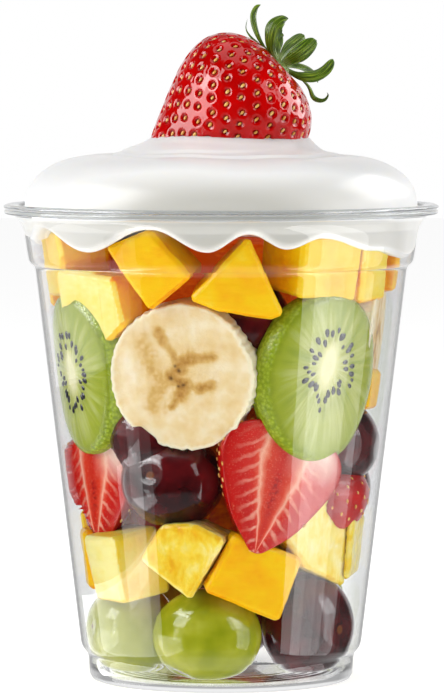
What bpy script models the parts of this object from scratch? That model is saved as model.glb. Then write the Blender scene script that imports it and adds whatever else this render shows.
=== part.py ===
"""Fruit cup: a clear plastic cup packed with cut fruit, a cap of cream and a strawberry on top.

Origin at the middle of the foot, +Z up, front of the cup towards -Y. Sizes below are millimetres
and degrees; `MM` turns them into Blender's metres. A bearing is the angle round the cup, 0 at the
front and positive towards +X.
"""

import math
import random

import bmesh
import bpy
from mathutils import Matrix, Vector
from mathutils.bvhtree import BVHTree

MM = 0.001
GAP = 0.3  # clearance between neighbouring pieces
STEPS = 26  # segments round the cup and the cream
CUT_EDGE = 0.9  # bevel of a cut block
SLICE_EDGE = 0.6  # bevel of a slice

# ---- the cup ------------------------------------------------------------------------------------
WALL = 1.2
RIM_RADIUS = 49.0
RIM_HEIGHT = 107.4
RIM_DROP = 2.2  # depth of the rim's outer edge
NECK_RADIUS = 45.7  # under the rim
COLLAR_RADIUS = (44.5, 43.4)  # short upper wall, top and bottom
COLLAR_HEIGHT = (102.0, 94.8)
BODY_RADIUS = (41.9, 31.7)  # long tapering wall, top and bottom
BODY_HEIGHT = (93.2, 8.2)
FOOT_RADIUS = 30.0
FOOT_HEIGHT = 5.7
FOOT_RING = (28.4, 26.4)  # flat ring that the cup stands on
FLOOR_LIFT = 0.4  # underside of the floor above the table
FLOOR = 0.8
DIMPLE_RADIUS = 14.0  # raised disc in the middle of the floor
DIMPLE_LIFT = 0.3
ABOVE_RIM = 137.4  # top of the cutter that stands for the room inside

# ---- the cream ----------------------------------------------------------------------------------
CREAM_RADIUS = 44.2
CREAM_BASE = 107.3  # height of the widest ring
CREAM_RISE = 12.0
CREAM_SWIRL = (2.3, 25.5)  # extra height and radius of the soft middle
CREAM_EDGE = 97.8  # lower edge against the wall
CREAM_WAVE = 1.1
CREAM_WAVES = 7
CREAM_OVERHANG = 3.5  # how far out a piece of fruit clears the cream off the wall
CREAM_UNDER = 101.0  # underside in the middle

# ---- the whole strawberry -----------------------------------------------------------------------
BERRY_RADIUS = 16.6
BERRY_LENGTH = 40.5
BERRY_TILT = 43.0  # its axis above the horizontal, towards +X
BERRY_TOP = (14.0, -1.5, 138.6)  # middle of its shoulder
BERRY_HOLLOW = (2.6, 6.0)  # depth and radius of the hollow that the leaves sit in
CROWN_SEAT = -0.9  # middle of the crown's button below the shoulder
CROWN_BUTTON = (3.0, 3.0, 1.4)  # its half-sizes

# Leaves of the crown: angle about the berry's axis (0 up and back over the berry, 90 to the
# front), opening from the axis at the base, curl back towards it, length, width.
LEAVES = (
    (-28, 88, 8, 12.0, 2.6),
    (12, 100, 60, 14.5, 3.2),
    (50, 88, 58, 13.5, 6.0),
    (105, 62, 28, 12.5, 5.6),
    (157, 60, 40, 12.0, 4.8),
    (183, 110, 88, 12.5, 2.2),
    (226, 66, 30, 11.5, 4.8),
    (280, 62, 24, 11.5, 5.4),
)
LEAF_ROOT = 1.6  # where the leaves start, from the axis
LEAF_THICKNESS = 0.7

# ---- cut fruit with a flat face to the wall -----------------------------------------------------
# name, bearing, height, reach of the face from the axis, yaw, lean, depth, back's size, outline
# of the face (across, up).
CHUNKS = (
    ("mango_rhombus", -22.5, 94, 39.5, 4, 8, 13.0, 0.86,
     ((-0.2, 9.1), (-11.1, 5.0), (-1.2, -9.6), (9.2, -1.4))),
    ("mango_wedge", 5, 90, 38.2, 0, 9, 12.0, 0.80,
     ((2.6, 11.7), (-10.5, -2.5), (-3.9, -5.4), (7.9, -7.2), (10.8, -6.1))),
    ("mango_block", 37, 94, 38.9, 1, 8, 15.0, 0.96,
     ((-7.8, 7.6), (10.0, 6.8), (8.8, -7.8), (-7.4, -6.4))),
    ("mango_pale", -49.5, 85, 37.4, 0, 8, 12.5, 0.84,
     ((-11.5, 8.6), (8.0, 7.2), (10.1, -3.5), (1.2, -9.7), (-6.0, -5.0), (-11.5, -0.5))),
    ("mango_side_left", -73, 95, 39.4, 0, 8, 12.0, 0.90,
     ((-8.0, 6.4), (6.2, 7.2), (8.4, 0.6), (3.6, -8.0), (-7.6, -8.6))),
    ("mango_side_right", 62, 92.5, 39.1, 4, 8, 14.0, 0.92,
     ((-7.6, 6.6), (5.6, 6.2), (6.6, -6.4), (-7.0, -6.8))),
    ("mango_strip", 76, 66.0, 35.4, 0, 7, 9.0, 0.90,
     ((-6.0, 5.0), (6.0, 4.2), (5.4, -5.0), (-6.0, -4.4))),
    ("pineapple_front", -17, 29, 31.0, 0, 7, 12.0, 0.86,
     ((-9.7, 0.4), (-4.5, 8.5), (3.1, 9.2), (10.6, 5.5), (1.8, -8.7))),
    ("mango_low", 13, 26, 30.4, 0, 7, 12.0, 0.88,
     ((-4.2, 10.0), (-10.8, -3.2), (6.6, -10.8), (11.6, 3.8))),
    ("pineapple_right", 49.5, 33, 28.9, -3, 7, 12.0, 0.86,
     ((4.0, 11.9), (9.2, 5.4), (10.2, -11.6), (-3.0, -6.4), (-11.0, 0.6), (-8.4, 8.0))),
    ("pineapple_side", 78, 31, 31.2, 0, 7, 12.0, 0.88,
     ((-7.6, 7.2), (6.8, 6.4), (7.4, -7.2), (-6.4, -8.0))),
    ("mango_side_low", -84, 27.5, 31.0, 0, 7, 12.0, 0.88,
     ((-6.6, 6.4), (6.0, 7.0), (6.6, -6.6), (-6.0, -7.0))),
    ("mango_back_a", 93, 94, 39.4, 3, 8, 13.0, 0.88,
     ((-7.8, 6.6), (8.2, 7.4), (6.6, -7.4), (-7.2, -6.4))),
    ("mango_back_b", 128, 93, 39.2, -6, 8, 13.0, 0.86,
     ((0.6, 8.8), (-10.6, 4.4), (-2.2, -9.0), (9.4, -2.8))),
    ("mango_back_c", 162, 92, 39.0, 4, 8, 13.0, 0.90,
     ((-8.6, 7.2), (8.8, 7.8), (7.6, -7.2), (-8.0, -6.4))),
    ("mango_back_d", -162, 91, 38.6, 0, 8, 12.5, 0.82,
     ((-2.0, 10.6), (-10.0, -5.4), (9.8, -6.6))),
    ("mango_back_e", -127, 93, 39.0, 5, 8, 13.5, 0.88,
     ((-8.8, 6.8), (8.4, 7.6), (9.0, -5.8), (-7.2, -7.6))),
    ("mango_back_f", -98, 90, 38.8, 0, 8, 12.0, 0.86,
     ((-7.0, 7.0), (6.2, 8.0), (7.0, -6.0), (-6.4, -7.4))),
    ("pineapple_back_a", 112, 32, 31.4, 0, 7, 12.5, 0.86,
     ((-7.4, 8.2), (6.6, 8.8), (9.2, -7.0), (-8.2, -7.8))),
    ("mango_back_g", 147, 30, 31.0, 5, 7, 13.0, 0.88,
     ((0.2, 10.2), (-9.6, 1.6), (-0.6, -10.0), (9.6, -1.0))),
    ("pineapple_back_b", -177, 31, 31.2, -4, 7, 12.5, 0.86,
     ((-7.8, 7.4), (7.6, 8.6), (6.8, -8.2), (-8.4, -7.0))),
    ("mango_back_h", -143, 30, 31.2, 4, 7, 13.0, 0.88,
     ((-7.8, 7.6), (7.4, 6.6), (8.2, -7.6), (-7.0, -8.2))),
    ("pineapple_back_c", -110, 30, 31.2, 0, 7, 12.0, 0.86,
     ((-6.6, 8.4), (7.4, 7.6), (6.4, -7.4), (-7.6, -6.8))),
)

# ---- plain cubes: name, bearing, height, reach of the centre, yaw, lean, (across, deep, tall) ---
CUBES = (
    ("mango_cube", -56.0, 27.6, 25.4, -3.5, 13, (13.6, 12.6, 15.2)),
    ("mango_inner_top", 150, 89.5, 1.0, 20, 0, (36.0, 34.0, 19.0)),
    ("mango_inner_front", -14, 72.0, 6.0, 35, 8, (29.0, 25.0, 15.0)),
    ("mango_inner_mid", 80, 54.0, 1.0, 30, 0, (29.0, 27.0, 18.0)),
    ("mango_inner_low", -150, 33.0, 1.0, 10, 0, (27.0, 26.0, 20.0)),
)

# ---- banana slices: name, bearing, height, reach of the face, lean, radius, thickness -----------
BANANAS = (
    ("banana_front", -15.0, 70.2, 33.2, 7, 16.3, 9.0),
    ("banana_right", 82, 77.0, 35.2, 7, 15.2, 9.0),
    ("banana_back", 176, 69.5, 33.2, 7, 15.6, 9.5),
    ("banana_left", -105, 67.5, 33.0, 7, 15.4, 9.0),
)

# ---- kiwi slices bent to the wall: name, bearing, height, radius, thickness ---------------------
KIWI_ROUNDING = 0.45  # 1 is an ellipsoid, 0 a flat disc with a square edge
KIWIS = (
    ("kiwi_left", -64.5, 70.0, 18.0, 8.5),
    ("kiwi_right", 41.0, 69.8, 18.9, 9.5),
    ("kiwi_back_a", 130, 70.5, 18.0, 9.0),
    ("kiwi_back_b", -139, 70.0, 18.0, 9.0),
)

# ---- strawberry halves: name, bearing, height, reach, yaw, lean, roll, radius, length, cut out --
HALVES = (
    ("strawberry_front", 30.0, 59.4, 32.2, -6, 1, 18, 14.6, 29.5, True),
    ("strawberry_left", -63, 56.0, 32.4, 0, 7, -4, 11.8, 25.0, True),
    ("strawberry_right", 64, 49.5, 25.0, 0, 12, -16, 10.5, 24.0, False),
    ("strawberry_back_a", 128, 57.5, 32.4, 0, 7, 8, 12.6, 27.0, True),
    ("strawberry_back_b", -166, 58.0, 32.6, 0, 7, -14, 12.6, 27.0, True),
    ("strawberry_back_c", -98, 57.0, 26.0, 0, 10, 6, 11.5, 26.0, False),
)

# ---- grapes: name, bearing, height, reach of the centre, (across, deep, tall) half-sizes --------
GRAPES = (
    ("red_grape_front", -27, 46.6, 23.5, (11.7, 10.9, 10.4)),
    ("red_grape_right", 76, 54.0, 25.4, (10.6, 10.8, 10.4)),
    ("red_grape_left", -38, 56.0, 24.6, (9.2, 9.8, 10.0)),
    ("red_grape_back_a", 100, 43.0, 24.2, (10.2, 10.2, 10.0)),
    ("red_grape_back_b", 162, 46.5, 24.0, (10.6, 10.4, 10.8)),
    ("green_grape_back_c", -133, 47.0, 24.0, (10.4, 10.4, 10.4)),
    ("green_grape_left", -77, 11.8, 20.6, (11.0, 10.3, 10.6)),
    ("green_grape_front", -9, 11.8, 19.9, (12.2, 10.4, 10.6)),
    ("red_grape_low", 73, 12.9, 20.1, (10.2, 10.6, 11.7)),
    ("green_grape_right", 122, 17.0, 21.4, (9.8, 10.0, 9.8)),
    ("red_grape_back_c", 174, 12.0, 20.3, (10.6, 10.2, 10.4)),
    ("green_grape_back_a", -130, 12.0, 20.2, (10.8, 10.2, 10.4)),
    ("red_grape_inner", 14, 82.0, 22.5, (10.0, 10.0, 9.8)),
)

COLOURS = {
    "cup": ((0.93, 0.95, 0.96), 0.05),
    "cream": ((0.93, 0.92, 0.88), 0.35),
    "strawberry": ((0.65, 0.02, 0.02), 0.25),
    "leaf": ((0.10, 0.25, 0.04), 0.5),
    "mango": ((0.95, 0.50, 0.02), 0.3),
    "pineapple": ((0.93, 0.70, 0.16), 0.3),
    "banana": ((0.90, 0.78, 0.52), 0.45),
    "kiwi": ((0.38, 0.55, 0.07), 0.3),
    "green_grape": ((0.35, 0.48, 0.06), 0.2),
    "red_grape": ((0.16, 0.01, 0.03), 0.2),
}

# The pieces at the front that keep their whole shape where they press on others, foremost first.
# The rest follow in the order of the tables.
FOREMOST = (
    "mango_rhombus", "mango_wedge", "mango_block", "mango_pale", "banana_front", "kiwi_right",
    "kiwi_left", "strawberry_front", "red_grape_front", "pineapple_front", "mango_low",
    "mango_cube", "pineapple_right",
)


# ---- scene and objects --------------------------------------------------------------------------
def clear_scene():
    """Remove every object the file starts with."""
    for old in list(bpy.data.objects):
        bpy.data.objects.remove(old, do_unlink=True)


def collection(name):
    """A new collection in the scene."""
    made = bpy.data.collections.new(name)
    bpy.context.scene.collection.children.link(made)
    return made


def material(name, kind):
    """A Principled material of a fruit's colour, one for each piece."""
    colour, roughness = COLOURS[kind]
    made = bpy.data.materials.new(name)
    made.use_nodes = True
    shader = made.node_tree.nodes["Principled BSDF"]
    shader.inputs["Base Color"].default_value = (*colour, 1.0)
    shader.inputs["Roughness"].default_value = roughness
    shader.inputs["Metallic"].default_value = 0.0
    return made


def new_object(name, mesh, group, kind=None):
    """Link a mesh into a collection, with its material when it has one."""
    made = bpy.data.objects.new(name, mesh)
    group.objects.link(made)
    if kind:
        mesh.materials.append(material(name, kind))
    return made


def mesh_from(name, shape, flat=False):
    """Turn a bmesh in millimetres into a mesh in metres."""
    bmesh.ops.scale(shape, vec=(MM, MM, MM), verts=shape.verts)
    bmesh.ops.recalc_face_normals(shape, faces=shape.faces)
    mesh = bpy.data.meshes.new(name)
    shape.to_mesh(mesh)
    shape.free()
    if not flat:
        mesh.shade_smooth()
        mesh.set_sharp_from_angle(angle=math.radians(40))
    return mesh


def evaluated_mesh(thing):
    """A plain mesh of an object with its modifiers, in world space."""
    graph = bpy.context.evaluated_depsgraph_get()
    mesh = bpy.data.meshes.new_from_object(thing.evaluated_get(graph))
    mesh.transform(thing.matrix_world)
    return mesh


def turned(name, profile, group, kind=None):
    """Screw a profile of (radius, height), in millimetres, round the Z axis."""
    mesh = bpy.data.meshes.new(name)
    points = [(radius * MM, 0.0, height * MM) for radius, height in profile]
    mesh.from_pydata(points, [(i, i + 1) for i in range(len(points) - 1)], [])
    made = new_object(name, mesh, group, kind)
    screw = made.modifiers.new("turn", "SCREW")
    screw.steps = STEPS
    screw.render_steps = STEPS
    screw.use_merge_vertices = True
    screw.merge_threshold = 0.00001
    return made


# ---- placing ------------------------------------------------------------------------------------
def facing(bearing, height, reach, yaw=0.0, lean=0.0, roll=0.0):
    """Place something at a bearing round the cup, its own -Y looking out through the wall.

    yaw turns it about the vertical, lean tips its top outwards and roll turns it in the plane
    of the wall.
    """
    return (
        Matrix.Rotation(math.radians(bearing), 4, "Z")
        @ Matrix.Translation(Vector((0, -reach, height)) * MM)
        @ Matrix.Rotation(math.radians(yaw), 4, "Z")
        @ Matrix.Rotation(math.radians(lean), 4, "X")
        @ Matrix.Rotation(math.radians(roll), 4, "Y")
    )


def inner_radius(height):
    """Radius of the cup's inside at a height."""
    outline = [(height_, radius) for radius, height_ in inner_profile()]
    outline.sort()
    for (low, radius_low), (high, radius_high) in zip(outline, outline[1:]):
        if low <= height <= high and high > low:
            return radius_low + (radius_high - radius_low) * (height - low) / (high - low)
    return outline[-1][1]


# ---- cup and cream ------------------------------------------------------------------------------
def outer_profile():
    """The cup's outside, from the top of the rim down to the foot ring."""
    rim_low = RIM_HEIGHT - RIM_DROP
    return [
        (NECK_RADIUS, RIM_HEIGHT - 0.2),
        (RIM_RADIUS - 0.9, RIM_HEIGHT),
        (RIM_RADIUS, RIM_HEIGHT - 0.9),
        (RIM_RADIUS, rim_low),
        (NECK_RADIUS + 0.4, rim_low - 0.5),
        (NECK_RADIUS, rim_low - 1.2),
        *wall_profile(),
        (FOOT_RING[0] + 0.9, 0.4),
        (FOOT_RING[0], 0.0),
        (FOOT_RING[1], 0.0),
        (FOOT_RING[1] - 0.6, FLOOR_LIFT),
        (DIMPLE_RADIUS + 1.0, FLOOR_LIFT),
        (DIMPLE_RADIUS, FLOOR_LIFT + DIMPLE_LIFT),
        (0.0, FLOOR_LIFT + DIMPLE_LIFT),
    ]


def wall_profile():
    """The stretch of wall from the collar down to the foot, which inside and outside share."""
    return [
        (COLLAR_RADIUS[0], COLLAR_HEIGHT[0]),
        (COLLAR_RADIUS[1], COLLAR_HEIGHT[1]),
        (COLLAR_RADIUS[1] - 0.5, COLLAR_HEIGHT[1] - 0.8),
        (BODY_RADIUS[0], BODY_HEIGHT[0]),
        (BODY_RADIUS[1], BODY_HEIGHT[1]),
        (BODY_RADIUS[1] - 0.5, BODY_HEIGHT[1] - 1.1),
        (FOOT_RADIUS, FOOT_HEIGHT),
        (FOOT_RADIUS - 0.2, 1.4),
    ]


def inner_profile():
    """The cup's inside, from the middle of the floor up to the rim."""
    floor = FLOOR_LIFT + FLOOR
    wall = [(radius - WALL, max(height, floor + 0.3)) for radius, height in reversed(wall_profile())]
    return [
        (0.0, floor + DIMPLE_LIFT),
        (DIMPLE_RADIUS, floor + DIMPLE_LIFT),
        (DIMPLE_RADIUS + 1.0, floor),
        (FOOT_RADIUS - WALL - 0.9, floor),
        *wall,
        (NECK_RADIUS - WALL, RIM_HEIGHT - RIM_DROP - 1.2),
        (NECK_RADIUS - WALL + 0.1, RIM_HEIGHT - 0.7),
    ]


def make_cup(group):
    """The clear cup: inside, rim and outside in one turned profile."""
    return turned("cup", inner_profile() + outer_profile(), group, "cup")


def make_cavity(group):
    """The room inside the cup, less the clearance; it trims whatever presses on the wall."""
    inside = [(max(radius - GAP, 0.0), height) for radius, height in inner_profile()]
    floor = [(radius, height + GAP) for radius, height in inside[:4]]
    wall = inside[4:] + [(inside[-1][0], ABOVE_RIM), (0.0, ABOVE_RIM)]
    return turned("cavity", list(reversed(floor + wall)), group)


def cream_height(radius):
    """Height of the cream's top surface at a distance from the axis."""
    dome = math.sqrt(max(0.0, 1.0 - (radius / CREAM_RADIUS) ** 5))
    rise, reach = CREAM_SWIRL
    swirl = 0.5 + 0.5 * math.cos(math.pi * min(radius / reach, 1.0) ** 3)
    return CREAM_BASE + CREAM_RISE * dome + rise * swirl


def make_cream(group):
    """The cream: a soft dome over the rim, and a scalloped edge inside the wall."""
    radii = [CREAM_RADIUS * math.sin(math.radians(a)) for a in (0, 26, 35, 47, 60, 73, 84)]
    top = [(radius, cream_height(radius)) for radius in radii]
    down_wall = (RIM_HEIGHT - RIM_DROP - 1.2, COLLAR_HEIGHT[0], CREAM_EDGE + 2.0)
    side = [
        (CREAM_RADIUS, CREAM_BASE),
        *[(inner_radius(height) - GAP - 0.1, height) for height in down_wall],
        (inner_radius(CREAM_EDGE) - 1.2, CREAM_EDGE),
    ]
    under = [(30.0, CREAM_UNDER), (0.0, CREAM_UNDER)]
    draft = turned("cream_draft", top + side + under, group)
    mesh = evaluated_mesh(draft)
    bpy.data.objects.remove(draft)
    for vertex in mesh.vertices:
        x, y, z = vertex.co
        if z / MM < CREAM_EDGE + 1.0:
            bearing = math.atan2(x, -y)
            vertex.co.z += CREAM_WAVE * MM * math.cos(CREAM_WAVES * bearing)
    mesh.name = "cream"
    return new_object("cream", mesh, group, "cream")


# ---- fruit shapes, each about its own origin and in millimetres ---------------------------------
def chunk_shape(outline, depth, back):
    """A cut block: its outline faces -Y and shrinks to the back."""
    shape = bmesh.new()
    front = shape.faces.new([shape.verts.new((x, 0.0, z)) for x, z in outline])
    pushed = bmesh.ops.extrude_face_region(shape, geom=[front])
    rear = [item for item in pushed["geom"] if isinstance(item, bmesh.types.BMVert)]
    bmesh.ops.scale(shape, vec=(back, 1.0, back), verts=rear)
    bmesh.ops.translate(shape, vec=(0.0, depth, 0.0), verts=rear)
    return shape


def cube_shape(sizes, chance):
    """A hand-cut cube, its corners a little off square."""
    shape = bmesh.new()
    bmesh.ops.create_cube(shape, size=1.0)
    for vertex in shape.verts:
        vertex.co = [c * size * chance.uniform(0.94, 1.06) for c, size in zip(vertex.co, sizes)]
    return shape


def banana_shape(radius, thickness, chance):
    """A banana slice: a disc with the fruit's faintly five-sided outline."""
    shape = bmesh.new()
    bmesh.ops.create_cone(
        shape, cap_ends=True, segments=16, radius1=radius, radius2=radius * 0.985, depth=thickness
    )
    bmesh.ops.rotate(shape, matrix=Matrix.Rotation(math.radians(90), 3, "X"), verts=shape.verts)
    start = chance.uniform(0.0, math.tau)
    for vertex in shape.verts:
        around = math.atan2(vertex.co.z, vertex.co.x)
        swell = 1.0 + 0.012 * math.cos(5 * around + start) + chance.uniform(-0.008, 0.008)
        vertex.co.x *= swell
        vertex.co.z *= swell
    bmesh.ops.translate(shape, vec=(0.0, thickness / 2, 0.0), verts=shape.verts)
    return shape


def grape_shape(half_sizes):
    """A grape: a sphere stretched to three half-sizes."""
    shape = bmesh.new()
    bmesh.ops.create_uvsphere(shape, u_segments=9, v_segments=6, radius=1.0)
    bmesh.ops.scale(shape, vec=half_sizes, verts=shape.verts)
    return shape


def kiwi_shape(bearing, height, radius, thickness):
    """A kiwi slice with a rounded rim, bent to lie along the cup's wall, in the cup's frame."""
    shape = bmesh.new()
    bmesh.ops.create_uvsphere(shape, u_segments=14, v_segments=6, radius=1.0)
    for vertex in shape.verts:
        flat = math.hypot(vertex.co.x, vertex.co.y)
        spread = flat ** KIWI_ROUNDING / flat if flat > 0.001 else 0.0
        across = vertex.co.x * spread * radius
        up = vertex.co.y * spread * radius
        sunk = 0.5 + 0.5 * math.copysign(abs(vertex.co.z) ** KIWI_ROUNDING, vertex.co.z)
        wall = inner_radius(height + up) - GAP - 0.2
        turn = math.radians(bearing) + across / inner_radius(height)
        from_axis = wall - sunk * thickness
        vertex.co = (from_axis * math.sin(turn), -from_axis * math.cos(turn), height + up)
    return shape


def berry_profile(radius, length, points):
    """A strawberry's outline from the leafy end (height 0) down to the tip: (radius, height)."""
    hollow_depth, hollow_radius = BERRY_HOLLOW
    outline = []
    for i in range(points + 1):
        t = (i / points) ** 1.5
        across = radius * max(math.sin(math.pi * t ** 0.545), 0.0) ** 0.8
        near_top = max(0.0, 1.0 - (across / hollow_radius) ** 2) if t < 0.5 else 0.0
        outline.append((across, -length * t - hollow_depth * near_top))
    return outline


def berry_shape(radius, length, segments=16, points=9):
    """A whole strawberry, turned about its own Z axis, tip down."""
    shape = bmesh.new()
    outline = berry_profile(radius, length, points)
    ring = [shape.verts.new((r, 0.0, z)) for r, z in outline]
    edges = [shape.edges.new(pair) for pair in zip(ring, ring[1:])]
    bmesh.ops.spin(
        shape, geom=ring + edges, cent=(0, 0, 0), axis=(0, 0, 1),
        angle=math.tau, steps=segments, use_merge=True,
    )
    bmesh.ops.remove_doubles(shape, verts=shape.verts, dist=0.01)
    return shape


def half_berry_shape(radius, length, cut_outwards):
    """Half a strawberry, cut lengthwise; its cut face looks along -Y when it faces outwards."""
    shape = berry_shape(radius, length, segments=12, points=7)
    keep = 1.0 if cut_outwards else -1.0
    parts = list(shape.verts) + list(shape.edges) + list(shape.faces)
    bmesh.ops.bisect_plane(
        shape, geom=parts, dist=0.001, plane_co=(0, 0, 0), plane_no=(0, -keep, 0), clear_outer=True
    )
    rim = [edge for edge in shape.edges if edge.is_boundary]
    bmesh.ops.holes_fill(shape, edges=rim)
    return shape


# ---- fruit pieces in the cup --------------------------------------------------------------------
def centre_origin(thing):
    """Move an object's origin to the middle of its mesh's box, without moving the mesh."""
    corners = [Vector(corner) for corner in thing.bound_box]
    middle = sum(corners, Vector()) / 8
    thing.data.transform(Matrix.Translation(-middle))
    thing.matrix_world = thing.matrix_world @ Matrix.Translation(middle)


def add_piece(name, kind, shape, place, group, bevel=0.0):
    """Make one piece of fruit from its shape, place it, and round its edges."""
    thing = new_object(name, mesh_from(name, shape, flat=bevel > 0), group, kind)
    thing.matrix_world = place
    centre_origin(thing)
    if bevel:
        rounding = thing.modifiers.new("soft edges", "BEVEL")
        rounding.width = bevel * MM
        rounding.segments = 1
        rounding.limit_method = "ANGLE"
    return thing


def kind_of(name):
    """A chunk's fruit, from its name."""
    return name.split("_")[0]


def make_fruit(group):
    """Every piece in the cup, from the ones that lie against the front wall to the hidden ones."""
    chance = random.Random(7)
    pieces = {}
    for name, bearing, height, reach, yaw, lean, depth, back, outline in CHUNKS:
        place = facing(bearing, height, reach, yaw, lean)
        shape = chunk_shape(outline, depth, back)
        pieces[name] = add_piece(name, kind_of(name), shape, place, group, CUT_EDGE)
    for name, bearing, height, reach, yaw, lean, sizes in CUBES:
        place = facing(bearing, height, reach, yaw, lean)
        shape = cube_shape(sizes, chance)
        pieces[name] = add_piece(name, kind_of(name), shape, place, group, CUT_EDGE)
    for name, bearing, height, reach, lean, radius, thickness in BANANAS:
        place = facing(bearing, height, reach, 0, lean)
        shape = banana_shape(radius, thickness, chance)
        pieces[name] = add_piece(name, "banana", shape, place, group, SLICE_EDGE)
    for name, bearing, height, radius, thickness in KIWIS:
        shape = kiwi_shape(bearing, height, radius, thickness)
        pieces[name] = add_piece(name, "kiwi", shape, Matrix(), group)
    for name, bearing, height, reach, yaw, lean, roll, radius, length, cut_out in HALVES:
        place = facing(bearing, height, reach, yaw, lean, roll)
        shape = half_berry_shape(radius, length, cut_out)
        pieces[name] = add_piece(name, "strawberry", shape, place, group)
    for name, bearing, height, reach, half_sizes in GRAPES:
        place = facing(bearing, height, reach)
        kind = "green_grape" if name.startswith("green") else "red_grape"
        pieces[name] = add_piece(name, kind, grape_shape(half_sizes), place, group)
    inner = [name for name in pieces if "inner" in name]
    middle = [name for name in pieces if name not in FOREMOST and name not in inner]
    return [pieces[name] for name in (*FOREMOST, *middle, *inner)]


# ---- the strawberry on top ----------------------------------------------------------------------
def crown_frame():
    """The top strawberry's frame: +Z along its axis out of the leafy end, +X up over the berry."""
    tilt = math.radians(BERRY_TILT)
    axis = Vector((math.cos(tilt), 0, math.sin(tilt)))
    over = Vector((-math.sin(tilt), 0, math.cos(tilt)))
    front = axis.cross(over)
    frame = Matrix((over, front, axis)).transposed().to_4x4()
    return Matrix.Translation(Vector(BERRY_TOP) * MM) @ frame


def leaf_mesh(name, around, opening, curl, length, width):
    """One leaf of the crown: an open blade that bends in an arc back towards the axis."""
    start = math.radians(opening)
    turn = math.radians(curl)
    shape = bmesh.new()
    bmesh.ops.create_grid(shape, x_segments=4, y_segments=1, size=0.5)
    for vertex in shape.verts:
        t = vertex.co.x + 0.5
        half = width * (0.25 + 0.75 * math.sin(math.pi * min(t * 0.9 + 0.14, 1.0)) ** 0.8)
        out = (math.cos(start - turn * t) - math.cos(start)) / turn
        up = (math.sin(start) - math.sin(start - turn * t)) / turn
        vertex.co = (LEAF_ROOT + length * out, vertex.co.y * half, length * up)
    bmesh.ops.rotate(shape, matrix=Matrix.Rotation(math.radians(around), 3, "Z"), verts=shape.verts)
    return mesh_from(name, shape)


def make_crown(group, cutters):
    """The strawberry's leafy crown: a button with its leaves joined on."""
    frame = crown_frame()
    button = bmesh.new()
    bmesh.ops.create_uvsphere(button, u_segments=8, v_segments=4, radius=1.0)
    bmesh.ops.scale(button, vec=CROWN_BUTTON, verts=button.verts)
    crown = new_object("crown", mesh_from("crown", button), group, "leaf")
    seat = frame @ Matrix.Translation(Vector((0, 0, CROWN_SEAT)) * MM)
    crown.matrix_world = seat
    for number, leaf_sizes in enumerate(LEAVES, start=1):
        leaf = new_object(f"leaf_{number}", leaf_mesh("leaf", *leaf_sizes), cutters)
        leaf.matrix_world = seat
        blade = leaf.modifiers.new("blade", "SOLIDIFY")
        blade.thickness = LEAF_THICKNESS * MM
        blade.offset = 0.0
        join = crown.modifiers.new(leaf.name, "BOOLEAN")
        join.operation = "UNION"
        join.object = leaf
    return crown


def make_berry(group):
    """The whole strawberry, half sunk in the cream."""
    shape = berry_shape(BERRY_RADIUS, BERRY_LENGTH)
    return add_piece("strawberry_top", "strawberry", shape, crown_frame(), group)


# ---- clearances ---------------------------------------------------------------------------------
def grown_copy(thing, cutters):
    """A cutter: the piece's own shape before any trimming, larger by the clearance."""
    cutter = bpy.data.objects.new(thing.name + "_room", thing.data)
    cutters.objects.link(cutter)
    cutter.matrix_world = thing.matrix_world
    for modifier in thing.modifiers:
        if modifier.type == "BEVEL":
            copy = cutter.modifiers.new("soft edges", "BEVEL")
            copy.width = modifier.width
            copy.segments = modifier.segments
            copy.limit_method = modifier.limit_method
    swell = cutter.modifiers.new("clearance", "DISPLACE")
    swell.strength = GAP * MM
    swell.mid_level = 0.0
    return cutter


def surface_tree(thing):
    """A search tree of an object's evaluated surface."""
    shape = bmesh.new()
    mesh = evaluated_mesh(thing)
    shape.from_mesh(mesh)
    bpy.data.meshes.remove(mesh)
    tree = BVHTree.FromBMesh(shape)
    shape.free()
    return tree


def cut(thing, cutter, operation="DIFFERENCE"):
    """Trim a piece with a cutter."""
    trim = thing.modifiers.new(cutter.name, "BOOLEAN")
    trim.operation = operation
    trim.object = cutter


def leaves_cavity(thing):
    """Whether any point of a piece reaches past the cup's inside, less the clearance."""
    mesh = evaluated_mesh(thing)
    points = [vertex.co / MM for vertex in mesh.vertices]
    bpy.data.meshes.remove(mesh)
    side = math.cos(math.pi / STEPS)
    floor = FLOOR_LIFT + FLOOR + DIMPLE_LIFT + GAP
    return any(
        math.hypot(x, y) > (inner_radius(z) - GAP) * side or z < floor for x, y, z in points
    )


def clear_neighbours(pieces, cavity, cutters):
    """Give way in order: each piece is cut back by every earlier piece that it would touch."""
    earlier = []
    for thing in pieces:
        own = surface_tree(thing)
        if leaves_cavity(thing):
            cut(thing, cavity, "INTERSECT")
        for cutter, tree in earlier:
            if own.overlap(tree):
                cut(thing, cutter)
        room = grown_copy(thing, cutters)
        earlier.append((room, surface_tree(room)))
    return earlier


def clear_cream(cream, rooms, cutters):
    """Cut the cream back from what reaches into it, and off the wall in front of the fruit."""
    own = surface_tree(cream)
    for cutter, tree in rooms:
        if not own.overlap(tree):
            continue
        cut(cream, cutter)
        if not cutter.name.startswith("strawberry"):
            outer = cutter.copy()
            outer.name = cutter.name + "_front"
            cutters.objects.link(outer)
            outwards = Matrix.Translation(Vector((0, -CREAM_OVERHANG, 0)) * MM)
            outer.matrix_world = cutter.matrix_world @ outwards
            cut(cream, outer)


def hide_cutters(cutters):
    """Cutters show as wire and are left out of renders."""
    for cutter in cutters.objects:
        cutter.hide_render = True
        cutter.display_type = "WIRE"


def main():
    clear_scene()
    group = collection("fruit_cup")
    cutters = collection("cutters")
    make_cup(group)
    cavity = make_cavity(cutters)
    berry = make_berry(group)
    make_crown(group, cutters)
    fruit = make_fruit(group)
    rooms = clear_neighbours([berry] + fruit, cavity, cutters)
    clear_cream(make_cream(group), rooms, cutters)
    hide_cutters(cutters)


main()
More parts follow.
